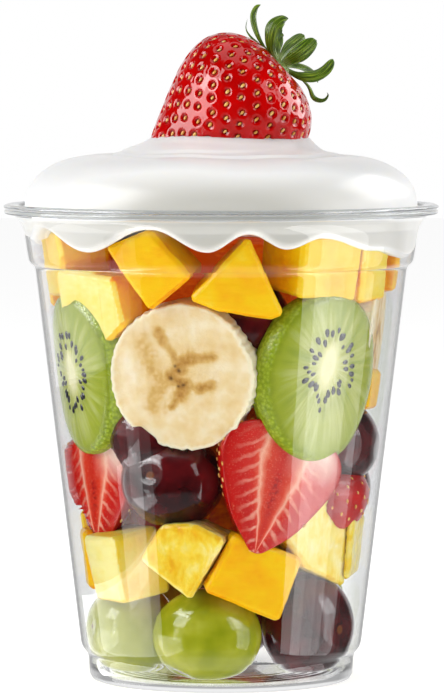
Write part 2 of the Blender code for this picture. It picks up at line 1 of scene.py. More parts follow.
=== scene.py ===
"""Fruit cup: the looks of a clear plastic cup of cut fruit with a cap of cream and a strawberry.

Lengths are millimetres and angles degrees; MM turns them into Blender's metres. A bearing is the
angle round the cup, 0 at the front (-Y) and positive towards +X.
"""

import math
import random

import bmesh
import bpy
import numpy as np
from mathutils import Matrix, Vector, noise
from mathutils.bvhtree import BVHTree
from mathutils.kdtree import KDTree


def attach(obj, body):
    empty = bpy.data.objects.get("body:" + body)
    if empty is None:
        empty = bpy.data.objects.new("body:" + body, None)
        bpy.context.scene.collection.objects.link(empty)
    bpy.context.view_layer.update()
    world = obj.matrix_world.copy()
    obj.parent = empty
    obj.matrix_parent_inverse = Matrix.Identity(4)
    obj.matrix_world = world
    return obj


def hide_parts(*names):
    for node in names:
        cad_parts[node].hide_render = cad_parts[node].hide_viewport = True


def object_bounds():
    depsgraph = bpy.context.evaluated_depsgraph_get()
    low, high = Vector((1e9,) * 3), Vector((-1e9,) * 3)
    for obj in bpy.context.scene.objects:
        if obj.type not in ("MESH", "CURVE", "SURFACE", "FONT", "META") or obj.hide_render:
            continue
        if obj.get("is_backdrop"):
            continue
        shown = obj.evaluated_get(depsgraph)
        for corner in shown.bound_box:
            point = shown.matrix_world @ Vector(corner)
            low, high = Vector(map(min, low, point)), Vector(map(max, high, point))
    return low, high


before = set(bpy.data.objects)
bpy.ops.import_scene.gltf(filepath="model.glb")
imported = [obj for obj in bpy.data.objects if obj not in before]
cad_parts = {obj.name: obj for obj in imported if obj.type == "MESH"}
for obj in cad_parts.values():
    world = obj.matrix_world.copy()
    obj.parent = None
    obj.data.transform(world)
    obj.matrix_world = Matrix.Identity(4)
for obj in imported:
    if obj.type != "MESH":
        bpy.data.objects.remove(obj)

CAD_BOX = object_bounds()

MM = 0.001
CLEARANCE = 0.12  # fruit to the cup's inside

# ---- sizes shared with the solids ---------------------------------------------------------------
WALL = 1.2  # of the solid
SHEET = 0.5  # wall of the finished cup
WALL_OUTSIDE = (  # radius, height, from the foot up
    (29.8, 1.4), (30.0, 5.7), (31.2, 7.1), (31.7, 8.2), (41.9, 93.2), (42.9, 94.0),
    (43.4, 94.8), (44.5, 102.0), (45.7, 104.0), (45.8, 106.7),
)
RIM_RADIUS = 49.0
RIM_HEIGHT = 107.4
RIM_DROP = 2.2
FOOT_RING = (28.4, 26.4)
FLOOR_TOP = 1.2
FLOOR_UNDER = 0.4
DIMPLE_RADIUS = 14.0
DIMPLE_LIFT = 0.3
FLOOR_RIDGES = (17.0, 19.4, 21.8, 24.2)  # moulded rings in the floor
RIDGE = 0.35
CUP_TURNS = 320  # faces round the cup

CREAM_RADIUS = 44.2
CREAM_BASE = 107.3
CREAM_RISE = 12.0
CREAM_SWIRL = (2.3, 25.5)
CREAM_UNDER = 101.0
CREAM_INTO_WALL = 0.15
CREAM_SHOULDER = 40.0  # where the dome turns down
CREAM_LOBE = 1.6  # roundness of the lower edge
CREAM_STEP = 0.25  # how sharp the step of a fold is
CREAM_NECK = (-106.9, -105.6)  # minus the heights between which the cream draws in to the wall
CREAM_EDGE = (  # bearing and height of the cream's lower edge, its peaks and the lobes between
    (-176, 97.4), (-158, 101.4), (-140, 97.2), (-122, 101.2), (-104, 97.6), (-88, 99.6),
    (-76, 99.4), (-65, 102.6), (-44, 97.6), (-21, 103.0), (-4, 98.0), (8, 102.0), (20, 98.6),
    (31, 100.9), (52, 97.8), (74, 95.6), (96, 100.4), (114, 97.0), (130, 101.4), (148, 97.4),
    (165, 101.0),
)

BERRY_RADIUS = 16.6
BERRY_LENGTH = 40.5
BERRY_TILT = 43.0
BERRY_TOP = (14.0, -1.5, 138.6)
BERRY_HOLLOW = (2.6, 6.0)
CROWN_SEAT = -0.9
CROWN_BUTTON = (3.0, 3.0, 1.4)
# Leaves of the crown: width at the widest, where that is, how blunt the tip is, turn to the front,
# and the middle line from root to tip.
LEAVES = (
    (0.6, 0.3, 1.0, 20, (
        (11.5, -1.0, 139.9), (8.5, -0.5, 143.1), (6.5, 0.5, 145.0), (5.6, 1.0, 146.7),
        (5.9, 1.5, 148.9))),
    (1.5, 0.55, 1.6, -25, (
        (11.9, -1.5, 139.7), (9.3, -1.5, 143.2), (7.8, -1.0, 146.4), (7.3, 0.0, 149.3),
        (7.9, 0.5, 151.3), (8.9, 0.5, 152.1))),
    (4.0, 0.50, 1.3, 18, (
        (12.6, -2.0, 139.2), (11.2, -3.5, 142.4), (11.4, -4.5, 145.3), (12.1, -5.0, 147.5),
        (13.7, -4.6, 148.8), (15.1, -4.0, 149.0))),
    (3.0, 0.6, 3.0, 10, (
        (13.0, 0.0, 139.4), (14.7, 2.0, 142.0), (16.7, 4.0, 143.7), (18.8, 5.5, 145.3))),
    (4.0, 0.55, 3.0, -20, (
        (13.4, -2.0, 138.2), (15.7, -3.5, 139.7), (18.4, -4.5, 141.5), (21.4, -4.0, 144.1))),
    (2.9, 0.58, 2.6, 30, (
        (13.8, -2.0, 138.2), (17.0, -3.5, 136.4), (20.4, -4.0, 136.1), (23.1, -3.5, 137.4),
        (25.1, -3.0, 139.9))),
    (1.2, 0.40, 1.0, -20, (
        (15.6, -1.0, 137.6), (19.4, 0.5, 134.0), (20.7, 1.0, 131.3), (22.1, 1.0, 130.5),
        (23.4, 1.0, 130.7), (24.1, 1.0, 131.7), (23.8, 1.0, 132.4))),
    (5.6, 0.55, 1.6, 70, (
        (13.4, 0.0, 139.0), (14.6, 5.0, 140.6), (17.0, 9.0, 141.6), (20.0, 12.0, 140.6))),
    (5.2, 0.55, 1.6, 110, (
        (13.8, 0.0, 138.4), (17.6, 4.0, 138.6), (20.6, 8.0, 137.4), (22.0, 11.5, 134.6))),
    (4.4, 0.5, 1.6, 80, (
        (12.6, 0.0, 139.4), (12.2, 4.0, 142.0), (12.4, 7.5, 144.2), (13.6, 10.0, 145.8))),
)
LEAF_THICKNESS = 0.36

# Blocks: how pale the face that looks out through the wall is, then how pale the other faces are.
# These tones are partly the flesh's own and partly painted light and shade, set face by face.
PALE_AND_SHADED_FACES = {
    "mango_pale": (0.78, 0.20),
    "mango_cube": (0.90, 0.62),
    "mango_block": (0.44, 0.40),
    "mango_side_left": (0.50, 0.25),
    "mango_side_right": (0.60, 0.20),
    "mango_side_low": (0.40, 0.20),
    "mango_low": (0.32, 0.24),
    "mango_rhombus": (0.36, 0.22),
    "mango_wedge": (0.34, 0.24),
    "pineapple_front": (0.28, 0.50),
    "pineapple_right": (0.52, 0.35),
    "pineapple_side": (0.42, 0.32),
}
BLOCK_TONE_AND_SHADE = (0.35, 0.18)
# Hidden blocks take the deepest oranges of the flesh: painted shade for the dark gaps between the
# blocks.
HIDDEN_PAINTED_SHADE_TONE = (0.06, 0.0)
EDGE_HIGHLIGHT_TONE = {"mango": 0.25, "pineapple": 0.06}  # paler along the knife edges: a painted highlight

BANANAS = (  # node, bearing, height, reach of the face, lean, radius, thickness
    ("banana_front", -15.0, 70.2, 33.2, 7, 16.3, 9.0),
    ("banana_right", 82, 77.0, 35.2, 7, 15.2, 9.0),
    ("banana_back", 176, 69.5, 33.2, 7, 15.6, 9.5),
    ("banana_left", -105, 67.5, 33.0, 7, 15.4, 9.0),
)
BANANA_CORNER = 0.035  # the rounded corner's share of the way out
KIWI_ROUNDING = 0.45  # below 1: fuller corners
KIWI_FACE = 0.93  # share of the way out where the flat face turns into the corner
KIWI_CORE_TONE = 0.25  # the core's edge, as a share of the way out
KIWI_SEEDS = 38
KIWI_SEED_TONES = (0.35, 0.41, 0.47)  # rows of seeds, as shares of the way out
# Node, bearing, height, radius, thickness, middle of the core, its half-sizes and turn, and how
# far the face stops short on the side where the peeled side shows (below 0: on the left).
KIWIS = (
    ("kiwi_left", -64.5, 70.0, 18.0, 8.5, (1.6, 0.3), (2.4, 4.6), 8, 3.0),
    ("kiwi_right", 41.0, 69.8, 18.9, 9.5, (-1.6, 2.8), (2.2, 4.8), -12, -2.6),
    ("kiwi_back_a", 130, 70.5, 18.0, 9.0, (0.6, -0.8), (2.8, 4.8), 15, 3.0),
    ("kiwi_back_b", -139, 70.0, 18.0, 9.0, (-0.8, 0.6), (2.9, 4.6), -25, -3.0),
)
HALVES = (  # node, bearing, height, reach, yaw, lean, roll, radius, length, cut face outwards
    ("strawberry_front", 30.0, 59.4, 32.2, -6, 1, 18, 14.6, 29.5, True),
    ("strawberry_left", -63, 56.0, 32.4, 16, 7, 4, 11.8, 25.0, True),
    ("strawberry_right", 64, 49.5, 25.0, 0, 12, -16, 10.5, 24.0, False),
    ("strawberry_back_a", 128, 57.5, 32.4, 0, 7, 8, 12.6, 27.0, True),
    ("strawberry_back_b", -166, 58.0, 32.6, 0, 7, -14, 12.6, 27.0, True),
    ("strawberry_back_c", -98, 57.0, 26.0, 0, 10, 6, 11.5, 26.0, False),
)
HALF_DOME = 0.5  # how far a cut face bulges
HALF_SLACK = 0.9
GRAPES = (  # node, bearing, height, reach of the centre, half-sizes, scar's bearing and rise
    ("red_grape_front", -27, 46.6, 23.5, (11.7, 10.9, 10.4), (-29, 11)),
    ("red_grape_right", 76, 54.0, 25.4, (10.6, 10.8, 10.4), (150, 10)),
    ("red_grape_left", -38, 56.0, 24.6, (9.2, 9.8, 10.0), (170, 30)),
    ("red_grape_back_a", 100, 43.0, 24.2, (10.2, 10.2, 10.0), (110, -20)),
    ("red_grape_back_b", 162, 46.5, 24.0, (10.6, 10.4, 10.8), (150, 12)),
    ("green_grape_back_c", -133, 47.0, 24.0, (10.4, 10.4, 10.4), (-120, 8)),
    ("green_grape_left", -77, 11.8, 20.6, (11.0, 10.3, 10.6), (-66, 5)),
    ("green_grape_front", -9, 11.8, 19.9, (12.2, 10.4, 10.6), (-60, -54)),
    ("red_grape_low", 73, 12.9, 20.1, (10.2, 10.6, 11.7), (46, -3)),
    ("green_grape_right", 122, 17.0, 21.4, (9.8, 10.0, 9.8), (140, 15)),
    ("red_grape_back_c", 174, 12.0, 20.3, (10.6, 10.2, 10.4), (190, -10)),
    ("green_grape_back_a", -130, 12.0, 20.2, (10.8, 10.2, 10.4), (-150, 0)),
    ("red_grape_inner", 14, 82.0, 22.5, (10.0, 10.0, 9.8), (180, 40)),
)


# ---- nodes --------------------------------------------------------------------------------------
def linear(code):
    """An sRGB hex colour as linear RGBA."""
    channels = [int(code[i:i + 2], 16) / 255 for i in (1, 3, 5)]
    return (*[((c + 0.055) / 1.055) ** 2.4 if c > 0.04045 else c / 12.92 for c in channels], 1.0)


def add(tree, kind, inputs=(), stops=(), **settings):
    """Add a node: its settings, the stops of its ramp, and its inputs in order or by name.

    A kind without "Node" in it is a shader node's. An input is a node or a socket to link, or
    else a value, where a hex colour turns linear.
    """
    node = tree.nodes.new(kind if "Node" in kind else f"ShaderNode{kind}")
    for name, value in settings.items():
        setattr(node, name, value)
    given = inputs.items() if isinstance(inputs, dict) else enumerate(inputs)
    for key, value in given:
        socket = node.inputs[key]
        if isinstance(value, bpy.types.Node):
            tree.links.new(value.outputs[0], socket)
        elif isinstance(value, bpy.types.NodeSocket):
            tree.links.new(value, socket)
        elif value is not None:
            is_colour = isinstance(value, str) and value.startswith("#")
            socket.default_value = linear(value) if is_colour else value
    for number, (place, colour) in enumerate(stops):
        ramp = node.color_ramp.elements
        stop = ramp[number] if number < 2 else ramp.new(place)
        stop.position = place
        stop.color = linear(colour)
    return node


def new_material(name, **sockets):
    """A material with a Principled shader whose plain sockets are set; its tree and shader."""
    made = bpy.data.materials.new(name)
    made.use_nodes = True
    tree = made.node_tree
    shader = tree.nodes["Principled BSDF"]
    for socket, value in sockets.items():
        target = shader.inputs[socket.replace("_", " ")]
        target.default_value = linear(value) if isinstance(value, str) else value
    return made, tree, shader


def wire(tree, shader, **sockets):
    """Link nodes to a shader's sockets."""
    for socket, node in sockets.items():
        source = node if isinstance(node, bpy.types.NodeSocket) else node.outputs[0]
        tree.links.new(source, shader.inputs[socket.replace("_", " ")])


# ---- meshes -------------------------------------------------------------------------------------
def inner_radius(height, wall=WALL):
    """Radius of the cup's inside at a height, for one height or an array."""
    radii, heights = zip(*WALL_OUTSIDE)
    return np.interp(height, heights, radii) - wall


def smooth_step(values, low, high):
    """0 below low, 1 above high, and a smooth rise between."""
    t = np.clip((values - low) / (high - low), 0.0, 1.0)
    return t * t * (3 - 2 * t)


def waves(points, size, seed=0.0):
    """Soft noise between about -1 and 1 at points in millimetres, with bumps of a size."""
    shift = Vector((seed, seed * 1.7, -seed * 0.6))
    return np.array([noise.noise(Vector(p) / size + shift) for p in points])


def store(mesh, name, values):
    """Store a number or a vector for each vertex as a named attribute."""
    values = np.asarray(values, dtype=np.float32)
    kind, field = ("FLOAT", "value") if values.ndim == 1 else ("FLOAT_VECTOR", "vector")
    mesh.attributes.new(name, kind, "POINT").data.foreach_set(field, values.ravel())


def points_of(mesh, field="co"):
    """A mesh's points or normals as an array; points turn to millimetres."""
    values = np.empty(len(mesh.vertices) * 3, dtype=np.float32)
    mesh.vertices.foreach_get(field, values)
    values = values.reshape(-1, 3).astype(float)
    return values / MM if field == "co" else values


def move_points(mesh, points):
    """Move a mesh's points to an array in millimetres."""
    mesh.vertices.foreach_set("co", (points * MM).ravel())
    mesh.update()


def closed_mesh(name, rings, **attributes):
    """A closed mesh from rings of points in millimetres, shut by a single point at each end.

    rings[i][j] is point j of ring i, and all points of the first and the last ring are the same.
    Attributes have a value for each of these points.
    """
    rings = np.asarray(rings, dtype=float)
    rows, columns = rings.shape[:2]

    def flat(grid):
        grid = np.asarray(grid, dtype=float)
        inner = grid[1:-1].reshape(-1, *grid.shape[2:])
        return np.concatenate([grid[0, :1], inner, grid[-1, :1]])

    points = flat(rings)
    ring = 1 + np.arange((rows - 2) * columns).reshape(rows - 2, columns)
    after = np.roll(ring, -1, axis=1)
    sides = np.stack([ring[:-1], ring[1:], after[1:], after[:-1]], axis=-1).reshape(-1, 4)
    first = [(0, int(a), int(b)) for a, b in zip(ring[0], after[0])]
    last = [(len(points) - 1, int(b), int(a)) for a, b in zip(ring[-1], after[-1])]
    a, b, c = points[sides[:, 0]], points[sides[:, 1]], points[sides[:, 2]]
    d = points[sides[:, 3]]
    volume = np.sum(a * np.cross(b, c)) + np.sum(a * np.cross(c, d))
    mesh = bpy.data.meshes.new(name)
    mesh.from_pydata((points * MM).tolist(), [], sides.tolist() + first + last)
    if volume < 0:
        mesh.flip_normals()
    for attribute, grid in attributes.items():
        store(mesh, attribute, flat(grid))
    return mesh


def facing(bearing, height, reach, yaw=0.0, lean=0.0, roll=0.0):
    """A place at a bearing round the cup, in millimetres, with -Y looking out of the wall."""
    return (
        Matrix.Rotation(math.radians(bearing), 4, "Z")
        @ Matrix.Translation(Vector((0, -reach, height)))
        @ Matrix.Rotation(math.radians(yaw), 4, "Z")
        @ Matrix.Rotation(math.radians(lean), 4, "X")
        @ Matrix.Rotation(math.radians(roll), 4, "Y")
    )


def placed(points, place):
    """An array of points, of any shape, moved by a matrix."""
    matrix = np.array(place)
    return np.asarray(points) @ matrix[:3, :3].T + matrix[:3, 3]


def solid_tree(node):
    """A search tree of a CAD solid."""
    shape = bmesh.new()
    shape.from_mesh(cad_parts[node].data)
    tree = BVHTree.FromBMesh(shape)
    shape.free()
    return tree


def keep_inside(points):
    """Draw points back that would reach the cup's wall."""
    from_axis = np.hypot(points[..., 0], points[..., 1])
    limit = inner_radius(points[..., 2]) - CLEARANCE
    scale = np.minimum(1.0, limit / np.maximum(from_axis, 0.001))
    kept = points.copy()
    kept[..., :2] *= scale[..., None]
    kept[..., 2] = np.maximum(kept[..., 2], FLOOR_TOP + DIMPLE_LIFT + RIDGE + 0.05)
    return kept


def settle(mesh, node, slack):
    """Press a piece against its neighbours: it stands out of its own solid by slack at most."""
    tree = solid_tree(node)
    points = points_of(mesh)
    for i, point in enumerate(points):
        near, normal, _, distance = tree.find_nearest(Vector(point * MM))
        away = Vector(point) - near / MM
        if distance / MM > slack and away.dot(normal) > 0:
            points[i] = near / MM + away * (slack * MM / distance)
    move_points(mesh, keep_inside(points))


def add_piece(name, mesh, material, slot, node=None):
    """Link a finished piece: it rides on the cup and stands for its solid."""
    made = bpy.data.objects.new(name, mesh)
    bpy.context.scene.collection.objects.link(made)
    mesh.materials.clear()
    mesh.materials.append(material)
    mesh.shade_smooth()
    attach(made, "root")
    if node:
        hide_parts(node)


def run_tree(tree, mesh, values):
    """Run a geometry tree on a mesh with its named inputs set, and return a plain mesh."""
    carrier = bpy.data.objects.new("carrier", mesh)
    bpy.context.scene.collection.objects.link(carrier)
    modifier = carrier.modifiers.new("shape", "NODES")
    modifier.node_group = tree
    for item in tree.interface.items_tree:
        if item.item_type == "SOCKET" and item.in_out == "INPUT" and item.name in values:
            modifier[item.identifier] = values[item.name]
    graph = bpy.context.evaluated_depsgraph_get()
    made = bpy.data.meshes.new_from_object(carrier.evaluated_get(graph))
    bpy.data.objects.remove(carrier)
    return made


def geometry_tree(name, inputs):
    """An empty geometry tree with named inputs: (name, socket type, default)."""
    tree = bpy.data.node_groups.new(name, "GeometryNodeTree")
    tree.interface.new_socket("Geometry", in_out="INPUT", socket_type="NodeSocketGeometry")
    for title, kind, value in inputs:
        socket = tree.interface.new_socket(title, in_out="INPUT", socket_type=kind)
        socket.default_value = value
    tree.interface.new_socket("Geometry", in_out="OUTPUT", socket_type="NodeSocketGeometry")
    return tree


def end_tree(tree, geometry, material):
    """End a geometry tree: real meshes with their material."""
    real = add(tree, "GeometryNodeRealizeInstances", (geometry,))
    painted = add(tree, "GeometryNodeSetMaterial", {"Geometry": real, "Material": material})
    add(tree, "NodeGroupOutput", (painted,))


# ---- finishes -----------------------------------------------------------------------------------
def clear_plastic(name, tint):
    """Clear PET, thermoformed: thin, bright and a little grey; much greyer at the folded rim,
    partly for the doubled sheet and partly as painted shade for the rim's dark lines.
    """
    made, tree, shader = new_material(
        name, Base_Color=tint, Roughness=0.02, IOR=1.5, Transmission_Weight=1.0,
    )
    path = add(tree, "LightPath")
    through = add(tree, "BsdfTransparent", ("#FFFFFF",))
    shown = shader
    for ray in ("Is Shadow Ray", "Is Diffuse Ray", "Is Reflection Ray"):
        shown = add(tree, "MixShader", (path.outputs[ray], shown, through))
    tree.links.new(shown.outputs[0], tree.nodes["Material Output"].inputs["Surface"])
    return made


def whipped_cream():
    """Softly whipped cream: smooth, wet and dense white, light passes a little way into it."""
    made, tree, shader = new_material(
        "softly whipped cream", Roughness=0.30, IOR=1.42, Specular_IOR_Level=0.3,
        Subsurface_Weight=0.5, Subsurface_Scale=0.003, Subsurface_Radius=(1.0, 0.9, 0.75),
        Coat_Weight=0.10, Coat_Roughness=0.12,
    )
    place = add(tree, "TexCoord").outputs["Object"]
    ripple = add(tree, "TexNoise", {"Vector": place, "Scale": 110.0, "Detail": 2.0})
    grain = add(tree, "Bump", {"Strength": 0.12, "Distance": 0.0006, "Height": ripple})
    # Painted sheen and painted shade: the base colour is grey where the cream faces the view and
    # white towards its outline.
    slant = add(tree, "LayerWeight", {"Blend": 0.5}).outputs["Facing"]
    painted_sheen_and_shade = add(
        tree, "ValToRGB", (slant,),
        ((0.03, "#C6C5BE"), (0.18, "#DAD9D4"), (0.50, "#F8F8F6")),
    )
    wire(tree, shader, Base_Color=painted_sheen_and_shade, Normal=grain)
    return made


def berry_skin():
    """Ripe strawberry skin: deep red, taut and very glossy, darker down in its pits."""
    made, tree, shader = new_material(
        "ripe strawberry skin", Roughness=0.10, IOR=1.45, Specular_IOR_Level=0.2,
        Subsurface_Weight=0.05, Subsurface_Scale=0.002, Subsurface_Radius=(1.0, 0.05, 0.02),
        Coat_Weight=0.7, Coat_Roughness=0.015,
    )
    place = add(tree, "TexCoord").outputs["Object"]
    blush = add(tree, "TexNoise", {"Vector": place, "Scale": 120.0, "Detail": 3.0})
    skin = add(tree, "ValToRGB", (blush,), ((0.3, "#B00000"), (0.7, "#D40000")))
    # Painted shade: the skin turns dark red down in each pit.
    pit = add(tree, "Attribute", attribute_name="pit")
    ring = add(
        tree, "ValToRGB", (pit.outputs["Fac"],),
        ((0.0, "#000000"), (0.35, "#202020"), (0.85, "#FFFFFF")),
    )
    colour = add(tree, "MixRGB", (ring, skin, "#7A0002"))
    fine = add(tree, "TexNoise", {"Vector": place, "Scale": 900.0, "Detail": 2.0})
    relief = add(tree, "Bump", {"Strength": 0.08, "Distance": 0.0002, "Height": fine})
    wire(tree, shader, Base_Color=colour, Normal=relief)
    return made


def seed_husk():
    """Strawberry achenes: dry straw-coloured husks with a dull shine."""
    made, tree, shader = new_material("strawberry achene husk", Roughness=0.35)
    place = add(tree, "TexCoord").outputs["Object"]
    mottle = add(tree, "TexNoise", {"Vector": place, "Scale": 700.0, "Detail": 2.0})
    husk = add(
        tree, "ValToRGB", (mottle,),
        ((0.3, "#D88A2C"), (0.55, "#F2BC5C"), (0.75, "#FCE2A4")),
    )
    wire(tree, shader, Base_Color=husk)
    return made


def kiwi_seed():
    """Kiwi seeds: hard, nearly black and wet, so that each has a small glint."""
    made, tree, shader = new_material("kiwi seed coat", Roughness=0.18, Coat_Weight=0.5)
    place = add(tree, "TexCoord").outputs["Object"]
    mottle = add(tree, "TexNoise", {"Vector": place, "Scale": 500.0})
    coat = add(tree, "ValToRGB", (mottle,), ((0.35, "#14121A"), (0.7, "#2C2A36")))
    wire(tree, shader, Base_Color=coat)
    return made


def leaf_green():
    """Strawberry calyx: thin green leaf with a waxy shine and paler veins along it."""
    made, tree, shader = new_material(
        "strawberry calyx leaf", Roughness=0.34, Specular_IOR_Level=0.3, Subsurface_Weight=0.1,
        Subsurface_Scale=0.001, Subsurface_Radius=(0.3, 1.0, 0.2), Coat_Weight=0.15,
        Coat_Roughness=0.2,
    )
    own = add(tree, "Attribute", attribute_name="own")
    along = add(tree, "SeparateXYZ", (own.outputs["Vector"],))
    veins = add(tree, "Mapping", {"Vector": own.outputs["Vector"], "Scale": (0.12, 2.6, 1.0)})
    streaks = add(tree, "TexNoise", {"Vector": veins, "Scale": 1.6, "Detail": 4.0})
    blade = add(
        tree, "ValToRGB", (streaks,),
        ((0.30, "#243804"), (0.5, "#48640A"), (0.68, "#8CA628")),
    )
    root = add(tree, "MapRange", (along.outputs["X"], 0.5, 3.0, 0.6, 0.0))
    colour = add(tree, "MixRGB", (root, blade, "#B9CC86"))
    relief = add(tree, "Bump", {"Strength": 0.35, "Distance": 0.0003, "Height": streaks})
    wire(tree, shader, Base_Color=colour, Normal=relief)
    return made


def mango_flesh(name="ripe mango flesh, cut", painted_glow=0.0):
    """Ripe mango, cut with a knife: wet and dense, a little fibrous, paler near the stone.

    Deep between the blocks an orange glow is painted in by emission: painted light that stands in
    for light gone through flesh again and again.
    """
    made, tree, shader = new_material(
        name, Roughness=0.32, IOR=1.4, Specular_IOR_Level=0.2,
        Emission_Color="#F05A00", Emission_Strength=painted_glow,
        Subsurface_Weight=0.25, Subsurface_Scale=0.0015, Subsurface_Radius=(1.0, 0.42, 0.06),
        Coat_Weight=0.12, Coat_Roughness=0.06,
    )
    own = add(tree, "Attribute", attribute_name="own").outputs["Vector"]
    # tone is each face's paleness: partly the flesh's own, partly painted light and shade, with a
    # painted highlight along the edges.
    tone = add(tree, "Attribute", attribute_name="tone").outputs["Fac"]
    clouds = add(tree, "TexNoise", {"Vector": own, "Scale": 0.13, "Detail": 3.0})
    drawn = add(tree, "Mapping", {"Vector": own, "Scale": (0.35, 0.9, 0.9)})
    fibres = add(tree, "TexNoise", {"Vector": drawn, "Scale": 1.3, "Detail": 5.0})
    drift = add(tree, "Math", (clouds, 0.5), operation="SUBTRACT")
    lines = add(tree, "Math", (fibres, 0.5), operation="SUBTRACT")
    wide = add(tree, "Math", (drift, 0.70, tone), operation="MULTIPLY_ADD")
    depth = add(tree, "Math", (lines, 0.22, wide), operation="MULTIPLY_ADD")
    flesh = add(
        tree, "ValToRGB", (depth,),
        ((0.0, "#C24400"), (0.10, "#EE8600"), (0.22, "#FDB600"), (0.42, "#FFCC06"),
         (0.62, "#FFDE48"), (0.95, "#FFF2A0")),
    )
    relief = add(tree, "Bump", {"Strength": 0.3, "Distance": 0.0003, "Height": fibres})
    wire(tree, shader, Base_Color=flesh, Normal=relief)
    return made


def pineapple_flesh():
    """Fresh pineapple, cut: juicy pale yellow with fibres and small hollows between them."""
    made, tree, shader = new_material(
        "pineapple flesh, cut", Roughness=0.26, IOR=1.4, Specular_IOR_Level=0.3,
        Subsurface_Weight=0.25, Subsurface_Scale=0.0015, Subsurface_Radius=(1.0, 0.7, 0.3),
        Coat_Weight=0.3, Coat_Roughness=0.08,
    )
    own = add(tree, "Attribute", attribute_name="own").outputs["Vector"]
    # tone is each face's paleness: partly the flesh's own, partly painted light and shade, with a
    # painted highlight along the edges.
    tone = add(tree, "Attribute", attribute_name="tone").outputs["Fac"]
    bend = add(tree, "TexNoise", {"Vector": own, "Scale": 0.25, "Detail": 1.0})
    bent = add(tree, "VectorMath", {"Vector": bend.outputs["Color"], "Scale": 3.5},
               operation="SCALE")
    swayed = add(tree, "VectorMath", (own, bent), operation="ADD")
    drawn = add(tree, "Mapping", {"Vector": swayed, "Scale": (1.0, 1.0, 0.35)})
    fibres = add(tree, "TexNoise", {"Vector": drawn, "Scale": 0.9, "Detail": 5.0})
    clouds = add(tree, "TexNoise", {"Vector": own, "Scale": 0.22, "Detail": 4.0})
    both = add(tree, "Math", (fibres, 0.5, clouds), operation="MULTIPLY_ADD")
    level = add(tree, "Math", (both, 0.75), operation="SUBTRACT")
    paler = add(tree, "Math", (level, 1.0, tone), operation="MULTIPLY_ADD")
    flesh = add(
        tree, "ValToRGB", (paler,),
        ((0.0, "#EDA810"), (0.12, "#F4C218"), (0.30, "#FAD940"), (0.50, "#FCE880"),
         (0.78, "#FFF4C0")),
    )
    relief = add(tree, "Bump", {"Strength": 0.4, "Distance": 0.0004, "Height": fibres})
    wire(tree, shader, Base_Color=flesh, Normal=relief)
    return made


def banana_flesh():
    """Banana, sliced: dull cream flesh, ochre round its three seed chambers, white at the edge."""
    made, tree, shader = new_material(
        "banana flesh, sliced", Roughness=0.42, IOR=1.4,
        Subsurface_Weight=0.4, Subsurface_Scale=0.0025, Subsurface_Radius=(1.0, 0.75, 0.4),
    )
    own = add(tree, "Attribute", attribute_name="own").outputs["Vector"]
    seam, dots, rim = (add(tree, "Attribute", attribute_name=name).outputs["Fac"]
                       for name in ("seam", "dots", "rim"))
    clouds = add(tree, "TexNoise", {"Vector": own, "Scale": 0.22, "Detail": 4.0})
    flesh = add(
        tree, "ValToRGB", (clouds,),
        ((0.30, "#EACA8C"), (0.48, "#F1DAA8"), (0.66, "#F8E9C8")),
    )
    edge = add(tree, "MixRGB", (rim, flesh, "#F9ECCC"))
    patch = add(tree, "TexNoise", {"Vector": own, "Scale": 0.8, "Detail": 4.0})
    uneven = add(tree, "MapRange", (patch, 0.25, 0.70, 0.45, 1.0))
    stain = add(tree, "Math", (seam, uneven), operation="MULTIPLY")
    lobed = add(
        tree, "ValToRGB", (stain,),
        ((0.0, "#F1DAA8"), (0.26, "#E0BA70"), (0.58, "#C49240"), (0.9, "#8E5C24")),
    )
    marked = add(tree, "MapRange", (stain, 0.0, 0.30, 0.0, 1.0))
    stained = add(tree, "MixRGB", (marked, edge, lobed))
    dark = add(tree, "MixRGB", (dots, stained, "#43200C"))
    fine = add(tree, "TexNoise", {"Vector": own, "Scale": 1.6, "Detail": 4.0})
    relief = add(tree, "Bump", {"Strength": 0.3, "Distance": 0.0003, "Height": fine})
    wire(tree, shader, Base_Color=dark, Normal=relief)
    return made


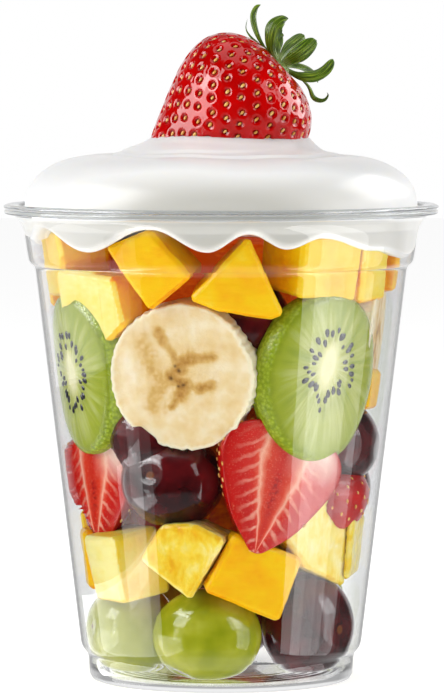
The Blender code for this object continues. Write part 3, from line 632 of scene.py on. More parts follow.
def kiwi_flesh():
    """Kiwi, peeled and sliced: wet green flesh, a creamy core and pale rays out to the edge.

    The peeled side is bumpy and brighter. "own" holds the way out from the core as a direction
    and, as its height, a share of 0 to 1 that is KIWI_CORE_TONE at the edge of the core.
    """
    made, tree, shader = new_material(
        "kiwi flesh, sliced", Roughness=0.24, IOR=1.4,
        Subsurface_Weight=0.3, Subsurface_Scale=0.002, Subsurface_Radius=(0.9, 1.0, 0.12),
        Coat_Weight=0.3, Coat_Roughness=0.08,
    )
    own = add(tree, "Attribute", attribute_name="own").outputs["Vector"]
    side = add(tree, "Attribute", attribute_name="side").outputs["Fac"]
    parts = add(tree, "SeparateXYZ", (own,))
    wide_rays = add(tree, "Mapping", {"Vector": own, "Scale": (6.0, 6.0, 0.9)})
    broad = add(tree, "TexNoise", {"Vector": wide_rays, "Scale": 1.0, "Detail": 2.0})
    fine_rays = add(tree, "Mapping", {"Vector": own, "Scale": (15.0, 15.0, 1.4)})
    thin = add(tree, "TexNoise", {"Vector": fine_rays, "Scale": 1.0, "Detail": 3.0})
    shift = add(tree, "Math", (thin, 0.5), operation="SUBTRACT")
    out = add(tree, "Math", (shift, 0.10, parts.outputs["Z"]), operation="MULTIPLY_ADD")
    flesh = add(
        tree, "ValToRGB", (out,),
        ((0.19, "#F6F2BE"), (0.25, "#E2E09A"), (0.32, "#B4BA50"), (0.45, "#A0AC36"),
         (0.62, "#AEB84A"), (0.88, "#9CAA2C"), (0.955, "#849414"), (0.975, "#C6CE7C")),
    )
    inner = add(
        tree, "ValToRGB", (out,),
        ((0.20, "#000000"), (0.28, "#FFFFFF"), (0.50, "#909090"), (0.70, "#202020")),
    )
    outer = add(
        tree, "ValToRGB", (out,),
        ((0.28, "#000000"), (0.42, "#B0B0B0"), (0.75, "#A0A0A0"), (0.93, "#000000")),
    )
    hairs = add(tree, "MapRange", (thin, 0.48, 0.60, 0.0, 0.9))
    near = add(tree, "Math", (hairs, inner), operation="MULTIPLY")
    rays = add(tree, "MapRange", (broad, 0.50, 0.62, 0.0, 0.8))
    far = add(tree, "Math", (rays, outer), operation="MULTIPLY")
    both = add(tree, "Math", (near, far), operation="MAXIMUM")
    rayed = add(tree, "MixRGB", (both, flesh, "#E0E2A8"))
    gaps = add(tree, "MapRange", (broad, 0.47, 0.34, 0.0, 0.75))
    deep = add(tree, "Math", (gaps, outer), operation="MULTIPLY")
    shaded = add(tree, "MixRGB", (deep, rayed, "#62880C"))
    place = add(tree, "TexCoord").outputs["Object"]
    bumps = add(tree, "TexVoronoi", {"Vector": place, "Scale": 1200.0})
    skin = add(tree, "ValToRGB", (bumps,), ((0.0, "#B8CA3C"), (0.35, "#A0B424"), (0.8, "#869C12")))
    colour = add(tree, "MixRGB", (side, shaded, skin))
    knobs = add(tree, "Math", (1.0, bumps), operation="SUBTRACT")
    ridges = add(tree, "Math", (broad, thin), operation="ADD")
    height = add(tree, "MixRGB", (side, ridges, knobs))
    relief = add(tree, "Bump", {"Strength": 0.45, "Distance": 0.0005, "Height": height})
    wire(tree, shader, Base_Color=colour, Normal=relief)
    return made


def halved_berry():
    """Strawberry, halved: juicy red flesh with pale veins from its core, glossy skin outside.

    "core" is the way out from the middle as a share that is 0.42 at the pale line round the
    core, which narrows to the tip; side veins leave that line outwards and towards the tip.
    """
    made, tree, shader = new_material(
        "strawberry, halved", Roughness=0.22, IOR=1.42,
        Subsurface_Weight=0.2, Subsurface_Scale=0.002, Subsurface_Radius=(1.0, 0.14, 0.06),
        Coat_Weight=0.35, Coat_Roughness=0.05,
    )
    own = add(tree, "Attribute", attribute_name="own").outputs["Vector"]
    face, core, out, down = (add(tree, "Attribute", attribute_name=name).outputs["Fac"]
                             for name in ("face", "core", "out", "down"))
    parts = add(tree, "SeparateXYZ", (own,))
    wobble = add(tree, "TexNoise", {"Vector": own, "Scale": 0.30, "Detail": 3.0})
    shift = add(tree, "Math", (wobble, 0.5), operation="SUBTRACT")
    bent = add(tree, "Math", (shift, 0.20, core), operation="MULTIPLY_ADD")
    flesh = add(
        tree, "ValToRGB", (bent,),
        ((0.0, "#CC1C06"), (0.26, "#DC3A1C"), (0.35, "#EE7A5C"), (0.42, "#FBB89C"),
         (0.50, "#E44A30"), (0.62, "#D61E0A"), (0.95, "#C80A00")),
    )
    across = add(tree, "Math", (parts.outputs["X"],), operation="ABSOLUTE")
    slope = add(tree, "Math", (across, 0.8, parts.outputs["Z"]), operation="MULTIPLY_ADD")
    waver = add(tree, "Math", (shift, 3.0, slope), operation="MULTIPLY_ADD")
    beat = add(tree, "Math", (waver, 1.9), operation="MULTIPLY")
    comb = add(tree, "Math", (beat,), operation="SINE")
    lines = add(tree, "MapRange", (comb, 0.25, 1.0, 0.0, 1.0))
    patch = add(tree, "TexNoise", {"Vector": own, "Scale": 0.45, "Detail": 1.0})
    uneven = add(tree, "MapRange", (patch, 0.35, 0.60, 0.45, 1.0))
    faded = add(tree, "Math", (lines, uneven), operation="MULTIPLY")
    band = add(
        tree, "ValToRGB", (out,),
        ((0.10, "#000000"), (0.30, "#FFFFFF"), (0.62, "#A0A0A0"), (0.88, "#000000")),
    )
    outside = add(tree, "MapRange", (bent, 0.40, 0.46, 0.0, 1.0))
    kept = add(tree, "Math", (faded, band), operation="MULTIPLY")
    veins = add(tree, "Math", (kept, outside), operation="MULTIPLY")
    veined = add(tree, "MixRGB", (veins, flesh, "#F6B296"))
    grain = add(tree, "TexNoise", {"Vector": own, "Scale": 3.2, "Detail": 2.0})
    specks = add(tree, "MapRange", (grain, 0.58, 0.72, 0.0, 0.45))
    speckled = add(tree, "MixRGB", (specks, veined, "#F08C6C"))
    # Painted shade: a dark red streak down the middle of the cut face, where the core's hollow
    # lies; the mesh has no hollow there.
    slit = add(tree, "MapRange", (across, 1.3, 0.3, 0.0, 1.0))
    length = add(
        tree, "ValToRGB", (down,),
        ((0.36, "#000000"), (0.46, "#FFFFFF"), (0.60, "#FFFFFF"), (0.74, "#000000")),
    )
    torn = add(tree, "TexNoise", {"Vector": own, "Scale": 0.9, "Detail": 3.0})
    ragged = add(tree, "MapRange", (torn, 0.45, 0.60, 0.0, 0.85))
    streak = add(tree, "Math", (slit, length), operation="MULTIPLY")
    hollow_shade_mask = add(tree, "Math", (streak, ragged), operation="MULTIPLY")
    hollow = add(tree, "MixRGB", (hollow_shade_mask, speckled, "#8A0C08"))
    top = add(tree, "MapRange", (down, 0.40, 0.14, 0.0, 1.0))
    right = add(tree, "MapRange", (parts.outputs["X"], 0.0, 7.5, 0.0, 0.9))
    rind = add(tree, "MapRange", (out, 0.97, 0.75, 0.15, 1.0))
    shoulder = add(tree, "Math", (top, right), operation="MULTIPLY")
    white = add(tree, "Math", (shoulder, rind), operation="MULTIPLY")
    pale = add(tree, "MixRGB", (white, hollow, "#FBE3D2"))
    edge = add(tree, "MapRange", (out, 0.90, 0.98, 0.0, 0.8))
    edged = add(tree, "MixRGB", (edge, pale, "#B40602"))
    place = add(tree, "TexCoord").outputs["Object"]
    blush = add(tree, "TexNoise", {"Vector": place, "Scale": 120.0, "Detail": 3.0})
    skin = add(tree, "ValToRGB", (blush,), ((0.3, "#A60402"), (0.7, "#CC0C08")))
    colour = add(tree, "MixRGB", (face, skin, edged))
    relief = add(tree, "Bump", {"Strength": 0.35, "Distance": 0.0003, "Height": grain})
    wire(tree, shader, Base_Color=colour, Normal=relief)
    return made


def grape_skin(name, colours, radius, weight):
    """Table grape, whole and washed: a taut glossy skin over juicy flesh that light enters."""
    made, tree, shader = new_material(
        name, Roughness=0.10, IOR=1.42, Subsurface_Weight=weight, Subsurface_Scale=0.003,
        Subsurface_Radius=radius, Coat_Weight=0.5, Coat_Roughness=0.04,
    )
    own = add(tree, "Attribute", attribute_name="own").outputs["Vector"]
    scar = add(tree, "Attribute", attribute_name="scar").outputs["Fac"]
    clouds = add(tree, "TexNoise", {"Vector": own, "Scale": 1.3, "Detail": 5.0})
    deep, middle, pale, ring = colours
    skin = add(tree, "ValToRGB", (clouds,), ((0.35, deep), (0.5, middle), (0.68, pale)))
    halo = add(tree, "MapRange", (scar, 1.1, 0.7, 0.0, 0.7))
    ringed = add(tree, "MixRGB", (halo, skin, ring))
    stem = add(tree, "MapRange", (scar, 0.65, 0.45, 0.0, 1.0))
    scarred = add(tree, "MixRGB", (stem, ringed, "#6B4014"))
    fine = add(tree, "TexNoise", {"Vector": own, "Scale": 5.0, "Detail": 3.0})
    gloss = add(tree, "MapRange", (fine, 0.3, 0.8, 0.07, 0.16))
    relief = add(tree, "Bump", {"Strength": 0.05, "Distance": 0.0002, "Height": fine})
    wire(tree, shader, Base_Color=scarred, Roughness=gloss, Normal=relief)
    return made


# ---- cup ----------------------------------------------------------------------------------------
def rounded(points, reach, steps=5):
    """An outline with its corners rounded, each by a curve that starts reach before it."""
    points = [np.array(p, dtype=float) for p in points]
    outline = [points[0]]
    for before, corner, after in zip(points, points[1:], points[2:]):
        ways = (before - corner, after - corner)
        start, end = (corner + w * min(reach / np.linalg.norm(w), 0.45) for w in ways)
        for t in np.linspace(0, 1, steps):
            outline.append((1 - t) ** 2 * start + 2 * t * (1 - t) * corner + t * t * end)
    outline.append(points[-1])
    return outline


def make_cup():
    """The cup: floor, inside wall, beaded rim, outside wall and foot, turned in one go."""
    floor = [(0.0, FLOOR_TOP + DIMPLE_LIFT), (DIMPLE_RADIUS, FLOOR_TOP + DIMPLE_LIFT),
             (DIMPLE_RADIUS + 1.0, FLOOR_TOP)]
    for radius in FLOOR_RIDGES:
        floor += [(radius - 0.7, FLOOR_TOP), (radius, FLOOR_TOP + RIDGE), (radius + 0.7, FLOOR_TOP)]
    foot = WALL_OUTSIDE[0]
    floor.append((foot[0] - SHEET - 0.9, FLOOR_TOP))
    inside = [(radius - SHEET, max(height, FLOOR_TOP + 0.6)) for radius, height in WALL_OUTSIDE]
    rim_low = RIM_HEIGHT - RIM_DROP
    neck = WALL_OUTSIDE[-1][0]
    rim = [
        (neck, RIM_HEIGHT - 0.25),
        (RIM_RADIUS - 0.9, RIM_HEIGHT),
        (RIM_RADIUS, RIM_HEIGHT - 0.4),
        (RIM_RADIUS, RIM_HEIGHT - 0.9),
        (RIM_RADIUS - 0.7, RIM_HEIGHT - 1.15),
        (RIM_RADIUS - 0.15, RIM_HEIGHT - 1.4),
        (RIM_RADIUS - 0.2, rim_low),
        (neck + 0.9, rim_low - 0.3),
    ]
    outside = list(reversed(WALL_OUTSIDE))[1:]
    under = [
        (FOOT_RING[0] + 0.9, 0.4), (FOOT_RING[0], 0.0), (FOOT_RING[1], 0.0),
        (FOOT_RING[1] - 0.6, FLOOR_UNDER), (DIMPLE_RADIUS + 1.0, FLOOR_UNDER),
        (DIMPLE_RADIUS, FLOOR_UNDER + DIMPLE_LIFT), (0.0, FLOOR_UNDER + DIMPLE_LIFT),
    ]
    outline = rounded(floor, 0.3) + rounded(inside, 1.3) + rounded(rim, 0.3)
    outline += rounded(outside, 1.3) + rounded(under, 0.3)
    turns = np.linspace(0, math.tau, CUP_TURNS, endpoint=False)
    rings = [
        [(radius * math.sin(turn), -radius * math.cos(turn), height) for turn in turns]
        for radius, height in outline
    ]
    mesh = closed_mesh("cup_wall", rings)
    add_piece("cup_wall", mesh, clear_plastic("clear PET, thermoformed", "#F7F8F9"), "cup", "cup")
    # The folded rim gets a much greyer tint: partly the doubled sheet, partly painted shade for the
    # rim's dark lines.
    mesh.materials.append(clear_plastic("clear PET, folded at the rim, tinted darker", "#A9AEB3"))
    for face in mesh.polygons:
        from_axis = math.hypot(face.center.x, face.center.y) / MM
        if from_axis > neck + 0.5 and face.center.z / MM > rim_low - 0.5:
            face.material_index = 1


# ---- cream --------------------------------------------------------------------------------------
def cream_height(radius):
    """Height of the cream's dome at a distance from the axis."""
    dome = np.sqrt(np.maximum(0.0, 1.0 - (radius / CREAM_RADIUS) ** 5))
    rise, reach = CREAM_SWIRL
    swirl = 0.5 + 0.5 * np.cos(math.pi * np.minimum(radius / reach, 1.0) ** 3)
    return CREAM_BASE + CREAM_RISE * dome + rise * swirl


def cream_edge(bearing):
    """Height of the cream's lower edge at a bearing: round lobes between the fruit."""
    knots = [(CREAM_EDGE[-1][0] - 360, CREAM_EDGE[-1][1]), *CREAM_EDGE,
             (CREAM_EDGE[0][0] + 360, CREAM_EDGE[0][1])]
    for (left, low), (right, high) in zip(knots, knots[1:]):
        if left <= bearing <= right:
            t = (bearing - left) / (right - left)
            return low + (high - low) * (0.5 - 0.5 * math.cos(math.pi * t))
    return knots[0][1]


def ledge(past, reach):
    """A fold's depth past its edge: a sharp step on the near side, a slope of a reach beyond it."""
    return math.exp(-past / reach) if past > 0 else math.exp(-(past / CREAM_STEP) ** 2)


def cream_lift(x, y, z, bearing, near):
    """How far the cream's top stands off its dome: a lip round the strawberry, folds, waves."""
    radius = math.hypot(x, y)
    lean = 1.0 + 0.9 * max(0.0, x / 22) ** 2
    lip = 1.3 * lean * math.exp(-(near / 2.4) ** 2)
    outer_at = 25.6 + 1.6 * math.sin(bearing + 0.7)
    inner_at = 21.2 - 2.0 * math.sin(bearing - 0.9)
    inner = ledge(radius - inner_at, 2.0) * max(0.0, math.cos(bearing + 0.8))
    soft = noise.noise(Vector((x, y * 1.4, z)) / 15) * 0.5 * min(1.0, radius / 12)
    fade = 1 - (radius / CREAM_RADIUS) ** 6
    return lip - 0.7 * ledge(radius - outer_at, 3.5) - 0.45 * inner + soft * fade


def make_cream(berry_tree):
    """The cream: a folded dome with a lip round the strawberry, scalloped inside the wall."""
    bearings = np.linspace(-180, 180, 360, endpoint=False)
    turns = np.radians(bearings)
    edges = np.array([cream_edge(b) for b in bearings])
    across = np.stack([np.sin(turns), -np.cos(turns)], axis=-1)
    rows = []

    def ring(radii, heights):
        radii = np.broadcast_to(radii, turns.shape)[:, None]
        heights = np.broadcast_to(heights, turns.shape)[:, None]
        rows.append(np.hstack([across * radii, heights]))

    shoulder = np.linspace(math.asin(CREAM_SHOULDER / CREAM_RADIUS), math.pi / 2, 20)[1:]
    flat = np.linspace(0, CREAM_SHOULDER, 74)
    for radius in np.concatenate([flat, CREAM_RADIUS * np.sin(shoulder)]):
        ring(radius, cream_height(radius))
    top = len(rows)
    for t in np.linspace(0.06, 1, 40):
        heights = CREAM_BASE + (edges + CREAM_LOBE - CREAM_BASE) * t
        wall = inner_radius(heights, SHEET) + CREAM_INTO_WALL
        bulge = CREAM_RADIUS + (wall - CREAM_RADIUS) * smooth_step(-heights, *CREAM_NECK)
        ring(bulge, heights)
    for angle in np.radians((18, 36, 54, 72, 90)):
        heights = edges + CREAM_LOBE * (1 - math.sin(angle))
        wall = inner_radius(heights, SHEET) + CREAM_INTO_WALL
        ring(wall - CREAM_LOBE * (1 - math.cos(angle)), heights)
    ring(inner_radius(edges) - 4.0, edges + 0.8)
    ring(30.0, CREAM_UNDER)
    ring(0.0, CREAM_UNDER)
    points = np.array(rows)
    for row in points[:top]:
        for point, bearing in zip(row, turns):
            near = berry_tree.find_nearest(Vector(point) * MM)[3] / MM
            point[2] += cream_lift(*point, bearing, near)
    points[0, :, 2] = points[0, 0, 2]
    add_piece("cream_cap", closed_mesh("cream_cap", points), whipped_cream(), "cream", "cream")


# ---- the seeds' tree ----------------------------------------------------------------------------
def seed_tree(name, material):
    """Seeds on points: each lies along its own direction, flat side out, in real size."""
    tree = geometry_tree(name, (
        ("Width", "NodeSocketFloat", 0.0008),
        ("Thickness", "NodeSocketFloat", 0.0005),
        ("Length", "NodeSocketFloat", 0.0013),
        ("Taper", "NodeSocketFloat", 0.3),
    ))
    given = add(tree, "NodeGroupInput")
    ball = add(tree, "GeometryNodeMeshUVSphere", {"Segments": 10, "Rings": 7, "Radius": 0.5})
    place = add(tree, "GeometryNodeInputPosition")
    parts = add(tree, "SeparateXYZ", (place,))
    point = add(tree, "Math", (parts.outputs["X"], given.outputs["Taper"]), operation="MULTIPLY")
    narrow = add(tree, "Math", (1.0, point), operation="SUBTRACT")
    y = add(tree, "Math", (parts.outputs["Y"], narrow), operation="MULTIPLY")
    z = add(tree, "Math", (parts.outputs["Z"], narrow), operation="MULTIPLY")
    drop = add(tree, "CombineXYZ", (parts.outputs["X"], y, z))
    sizes = add(tree, "CombineXYZ", (
        given.outputs["Length"], given.outputs["Width"], given.outputs["Thickness"],
    ))
    real = add(tree, "VectorMath", (drop, sizes), operation="MULTIPLY")
    seed = add(tree, "GeometryNodeSetPosition", {"Geometry": ball.outputs["Mesh"],
                                                 "Position": real})
    along = add(tree, "GeometryNodeInputNamedAttribute", ("along",), data_type="FLOAT_VECTOR")
    out = add(tree, "GeometryNodeInputNamedAttribute", ("out",), data_type="FLOAT_VECTOR")
    size = add(tree, "GeometryNodeInputNamedAttribute", ("size",), data_type="FLOAT")
    turn = add(tree, "FunctionNodeAxesToRotation", (out, along), primary_axis="Z",
               secondary_axis="X")
    spread = add(tree, "GeometryNodeInstanceOnPoints", {
        "Points": given.outputs["Geometry"], "Instance": seed, "Rotation": turn, "Scale": size,
    })
    end_tree(tree, spread, material)
    return tree


def make_seeds(name, tree, slot, material, points, along, out, sizes, **inputs):
    """Scatter seeds at points in millimetres, with their directions and relative sizes."""
    mesh = bpy.data.meshes.new(name)
    mesh.from_pydata((np.asarray(points) * MM).tolist(), [], [])
    store(mesh, "along", along)
    store(mesh, "out", out)
    store(mesh, "size", sizes)
    add_piece(name, run_tree(tree, mesh, inputs), material, slot)


# ---- strawberries -------------------------------------------------------------------------------
def berry_outline(radius, length, t, hollow=True):
    """A strawberry's outline, from its leafy end at t 0 to its tip at t 1: radius, height."""
    t = np.asarray(t, dtype=float)
    blunt = 0.8 - 0.2 * smooth_step(t, 0.45, 0.9)
    across = radius * np.maximum(np.sin(math.pi * t ** 0.545), 0.0) ** blunt
    depth, reach = BERRY_HOLLOW
    near_top = np.where(t < 0.5, np.maximum(0.0, 1.0 - (across / reach) ** 2), 0.0)
    return across, -length * t - (depth * near_top if hollow else 0.0)


def even_steps(radius, length, rows, hollow=True):
    """Values of t that are evenly spaced along the outline's length."""
    t = np.linspace(0, 1, 1500) ** 2
    across, height = berry_outline(radius, length, t, hollow)
    run = np.concatenate([[0], np.cumsum(np.hypot(np.diff(across), np.diff(height)))])
    return np.interp(np.linspace(0, run[-1], rows), run, t)


def pit_spots(radius, length, spacing, hollow=True):
    """Pits spread evenly over a strawberry by the golden angle: turn and t of each."""
    t = even_steps(radius, length, 800, hollow)
    across, height = berry_outline(radius, length, t, hollow)
    step = np.hypot(np.diff(across), np.diff(height))
    area = np.concatenate([[0], np.cumsum(math.tau * (across[1:] + across[:-1]) / 2 * step)])
    count = int(area[-1] / (0.92 * spacing ** 2))
    shares = (np.arange(count) + 0.5) / count * area[-1]
    turns = np.arange(count) * math.pi * (3 - math.sqrt(5))
    return turns, np.interp(shares, area, t)


def berry_points(turns, t, radius, length, hollow=True):
    """Points, outward directions and directions to the tip on a strawberry's skin."""
    across, height = berry_outline(radius, length, t, hollow)
    next_across, next_height = berry_outline(radius, length, np.minimum(t + 0.002, 1), hollow)
    down = np.stack([next_across - across, next_height - height], axis=-1)
    down /= np.maximum(np.linalg.norm(down, axis=-1, keepdims=True), 1e-9)
    c, s = np.cos(turns), np.sin(turns)
    point = np.stack([across * c, across * s, height], axis=-1)
    along = np.stack([down[..., 0] * c, down[..., 0] * s, down[..., 1]], axis=-1)
    out = np.stack([-down[..., 1] * c, -down[..., 1] * s, down[..., 0]], axis=-1)
    return point, out, along


def crown_frame():
    """The top strawberry's frame, in millimetres: +Z out of its leafy end, +X up over it."""
    tilt = math.radians(BERRY_TILT)
    axis = Vector((math.cos(tilt), 0, math.sin(tilt)))
    over = Vector((-math.sin(tilt), 0, math.cos(tilt)))
    rotation = Matrix((over, axis.cross(over), axis)).transposed().to_4x4()
    return Matrix.Translation(Vector(BERRY_TOP)) @ rotation


def dented(points, out, spots, depth, reach):
    """Points with a round pit pressed in at each spot, and how deep each point lies, 0 to 1."""
    finder = KDTree(len(spots))
    for i, spot in enumerate(spots):
        finder.insert(Vector(spot), i)
    finder.balance()
    shape = points.shape[:-1]
    far = np.array([finder.find(Vector(p))[2] for p in points.reshape(-1, 3)]).reshape(shape)
    bowl = np.exp(-(far / reach) ** 4)
    lip = np.exp(-((far - reach * 1.55) / (0.5 * reach)) ** 2)
    lift = 0.08 * depth * lip - depth * bowl
    return points + out * lift[..., None], bowl


def make_top_berry(achenes, husk, skin):
    """The whole strawberry on top: pitted skin, an achene in each pit."""
    place = crown_frame()
    t = even_steps(BERRY_RADIUS, BERRY_LENGTH, 230)
    turns = np.linspace(0, math.tau, 340, endpoint=False)
    grid_turns, grid_t = np.meshgrid(turns, t)
    points, out, _ = berry_points(grid_turns, grid_t, BERRY_RADIUS, BERRY_LENGTH)
    spot_turns, spot_t = pit_spots(BERRY_RADIUS, BERRY_LENGTH, 3.4)
    chance = random.Random(11)
    spot_turns = spot_turns + [chance.uniform(-0.02, 0.02) for _ in spot_turns]
    outer = spot_t > 0.02
    spot_turns, spot_t = spot_turns[outer], spot_t[outer]
    spots, spot_out, spot_along = berry_points(spot_turns, spot_t, BERRY_RADIUS, BERRY_LENGTH)
    points, pit = dented(points, out, spots, 0.55, 0.85)
    points[0] = points[0, 0]
    points[-1] = points[-1, 0]
    mesh = closed_mesh("strawberry_top_fruit", placed(points, place), pit=pit)
    add_piece("strawberry_top_fruit", mesh, skin, "strawberry", "strawberry_top")
    turn = np.array(place)[:3, :3].T
    sizes = [chance.uniform(0.85, 1.15) for _ in spots]
    make_seeds(
        "strawberry_top_seeds", achenes, "strawberry", husk, placed(spots - spot_out * 0.40, place),
        spot_along @ turn, spot_out @ turn, sizes,
        Width=0.62 * MM, Thickness=0.5 * MM, Length=1.15 * MM,
    )


def smooth_line(knots, shares):
    """Points at shares of 0 to 1 along a smooth line through its knots."""
    knots = np.array(knots)
    spans = len(knots) - 1
    ends = np.concatenate([[2 * knots[0] - knots[1]], knots, [2 * knots[-1] - knots[-2]]])
    points = []
    for share in shares:
        i = min(int(share * spans), spans - 1)
        u = share * spans - i
        a, b, c, d = ends[i:i + 4]
        points.append(0.5 * (2 * b + (c - a) * u + (2 * a - 5 * b + 4 * c - d) * u * u
                             + (3 * b - a - 3 * c + d) * u ** 3))
    return np.array(points)


def leaf_rings(width, widest, bluntness, turn, line):
    """One leaf of the crown as flat rings from its root to its tip, with its own coordinates."""
    shares = np.linspace(0, 1, 44)
    middle = smooth_line(line, shares)
    along = np.gradient(middle, axis=0)
    run = np.concatenate([[0], np.cumsum(np.linalg.norm(np.diff(middle, axis=0), axis=1))])
    along /= np.linalg.norm(along, axis=1, keepdims=True)
    front = np.array([0.0, -1.0, 0.0])
    normal = front - along * (along @ front)[:, None]
    normal /= np.linalg.norm(normal, axis=1, keepdims=True)
    side = np.cross(along, normal)
    loop = np.linspace(0, math.tau, 28, endpoint=False)
    v = np.cos(loop)
    rings, own = [], []
    for i, t in enumerate(shares):
        rise = 0.30 + 0.70 * float(smooth_step(t, 0.0, widest))
        fall = max(0.0, (t - widest) / (1 - widest))
        half = 0.5 * width * rise * (1 - fall ** (1.2 * bluntness)) ** (1 / (0.4 + 0.6 * bluntness))
        tip = (1.02 - t) * 8
        thick = np.sin(loop) * LEAF_THICKNESS / 2 * (1.3 - 0.6 * v * v) * min(1.0, tip)
        groove = -0.22 * np.exp(-(v / 0.16) ** 2) * min(1.0, half / 1.5)
        cup = -0.35 * half * v * v
        frill = 0.08 * half * np.sin(9 * t + 2 * v) * v * v
        lift = thick + groove + cup + frill if t < 1 else 0 * v
        bent = math.radians(turn) * (0.5 + 0.5 * t)
        flat = math.cos(bent) * side[i] + math.sin(bent) * normal[i]
        up = math.cos(bent) * normal[i] - math.sin(bent) * side[i]
        rings.append(middle[i] + np.outer(v * half, flat) + np.outer(lift, up))
        own.append(np.stack([0 * v + run[i], v * half, 0 * v], axis=-1))
    rings = np.array(rings)
    rings[0] = rings[0].mean(axis=0)
    rings[-1] = rings[-1].mean(axis=0)
    return rings, np.array(own)


def joined(name, meshes):
    """Several meshes as one."""
    shape = bmesh.new()
    for mesh in meshes:
        shape.from_mesh(mesh)
        bpy.data.meshes.remove(mesh)
    made = bpy.data.meshes.new(name)
    shape.to_mesh(made)
    shape.free()
    return made


def make_crown(green):
    """The leafy crown: curled blades round a small button."""
    place = crown_frame() @ Matrix.Translation(Vector((0, 0, CROWN_SEAT)))
    parts = []
    for leaf in LEAVES:
        rings, own = leaf_rings(*leaf)
        parts.append(closed_mesh("leaf", rings, own=own))
    turns = np.linspace(0, math.tau, 40, endpoint=False)
    rings = []
    for polar in np.linspace(0, math.pi, 16):
        bumps = 1 + 0.10 * np.cos(8 * turns) * math.sin(polar)
        unit = (math.sin(polar) * np.cos(turns) * bumps, math.sin(polar) * np.sin(turns) * bumps,
                math.cos(polar) + 0 * turns)
        rings.append(np.stack(unit, axis=-1) * CROWN_BUTTON)
    rings = np.array(rings)
    own = np.stack([rings[..., 0] * 0 + 2.0, rings[..., 0], rings[..., 1]], axis=-1)
    parts.append(closed_mesh("button", placed(rings, place), own=own))
    add_piece("crown_leaves", joined("crown_leaves", parts), green, "strawberry_leaf", "crown")


def half_mesh(name, place, bearing, radius, length, back):
    """One half: rings of the skin's half circle and of the cut face, a little domed."""
    t = even_steps(radius, length, 90, hollow=False)
    across, heights = berry_outline(radius, length, t, hollow=False)
    arc = np.linspace(0, math.pi, 56)
    line = np.linspace(-1, 1, 50)[1:-1]
    unit_x = np.concatenate([np.cos(arc), line])
    unit_y = np.concatenate([np.sin(arc), 0 * line])
    x = across[:, None] * unit_x
    y = across[:, None] * unit_y
    z = heights[:, None] + 0 * x
    dome = np.where(unit_y == 0, HALF_DOME * (1 - np.minimum(np.abs(unit_x), 1) ** 6), 0.0)
    y = (y - dome * np.minimum(across[:, None] / 6, 1) + HALF_DOME) * back
    own = np.stack([x, y + 0.37 * bearing, z], axis=-1)
    face = np.broadcast_to(np.where(unit_y <= 0.001, 1.0, 0.0), x.shape)
    out = np.broadcast_to(np.abs(unit_x), x.shape)
    down = -z / length
    core = out / np.sqrt(1.02 - down)
    points = placed(np.stack([x, y, z], axis=-1), place)
    return closed_mesh(name, points, own=own, face=face, out=out, down=down, core=core)


def make_halves(achenes, husk, flesh):
    """Strawberry halves: a cut face with veins, the skin round it and its achenes."""
    chance = random.Random(5)
    for node, bearing, height, reach, yaw, lean, roll, radius, length, cut_out in HALVES:
        place = facing(bearing, height, reach, yaw, lean, roll)
        back = 1.0 if cut_out else -1.0
        mesh = half_mesh(f"{node}_fruit", place, bearing, radius, length, back)
        settle(mesh, node, HALF_SLACK)
        add_piece(f"{node}_fruit", mesh, flesh, "strawberry", node)
        turns, spot_t = pit_spots(radius, length, 3.1, hollow=False)
        spots, spot_out, along = berry_points(turns, spot_t, radius, length, hollow=False)
        kept = (spots[:, 1] > -0.2) & (spot_t > 0.03)
        mirror = np.array([1.0, back, 1.0])
        spots, spot_out, along = (found[kept] * mirror for found in (spots, spot_out, along))
        spots[:, 1] += HALF_DOME * back
        matrix = np.array(place)[:3, :3].T
        seats = keep_inside(placed(spots + spot_out * 0.05, place))
        tree = solid_tree(node)
        near = [tree.find_nearest(Vector(seat * MM))[3] / MM < HALF_SLACK for seat in seats]
        make_seeds(
            f"{node}_seeds", achenes, "strawberry", husk, seats[near],
            (along @ matrix)[near], (spot_out @ matrix)[near],
            [chance.uniform(0.8, 1.1) for hit in near if hit],
            Width=0.55 * MM, Thickness=0.45 * MM, Length=0.95 * MM,
        )


# ---- kiwi and banana slices ---------------------------------------------------------------------
def ring_noise(turns, third, size):
    """Noise round a ring, the same at its start and end."""
    return np.array([noise.noise(Vector((math.cos(a), math.sin(a), third)) * size) for a in turns])


def kiwi_slice(bearing, height, radius, thickness, core, core_size, core_turn, short):
    """A slice's points by share of the way out and share sunk in, its rays and its core's edge."""
    turns = np.linspace(0, math.tau, 200, endpoint=False)
    outline = radius * (1 + 0.03 * ring_noise(turns, bearing, 1.7))
    rim = np.stack([outline * np.cos(turns), outline * np.sin(turns)], axis=-1)
    middle = np.array(core)
    rays = rim - middle
    reach = np.linalg.norm(rays, axis=-1)
    heading = np.arctan2(rays[:, 1], rays[:, 0]) - math.radians(core_turn)
    wide, tall = core_size
    ripple = 1 + 0.08 * ring_noise(turns, 5, 3)
    core_edge = ripple / np.hypot(np.cos(heading) / wide, np.sin(heading) / tall) / reach

    def at(share, sunk):
        flat = middle * (1 - share) + rim * share
        edge = np.maximum(0.0, np.sign(short) * flat[:, 0] / radius)
        back = 1 - float(smooth_step(sunk, 0.05, 0.55))
        flat[:, 0] -= short * back * edge ** 1.5
        wall = inner_radius(height + flat[:, 1]) - 0.5
        turn = math.radians(bearing) + flat[:, 0] / inner_radius(height)
        from_axis = wall - sunk * thickness
        return np.stack([
            from_axis * np.sin(turn), -from_axis * np.cos(turn), height + flat[:, 1],
        ], axis=-1)

    return at, rays / reach[:, None], core_edge


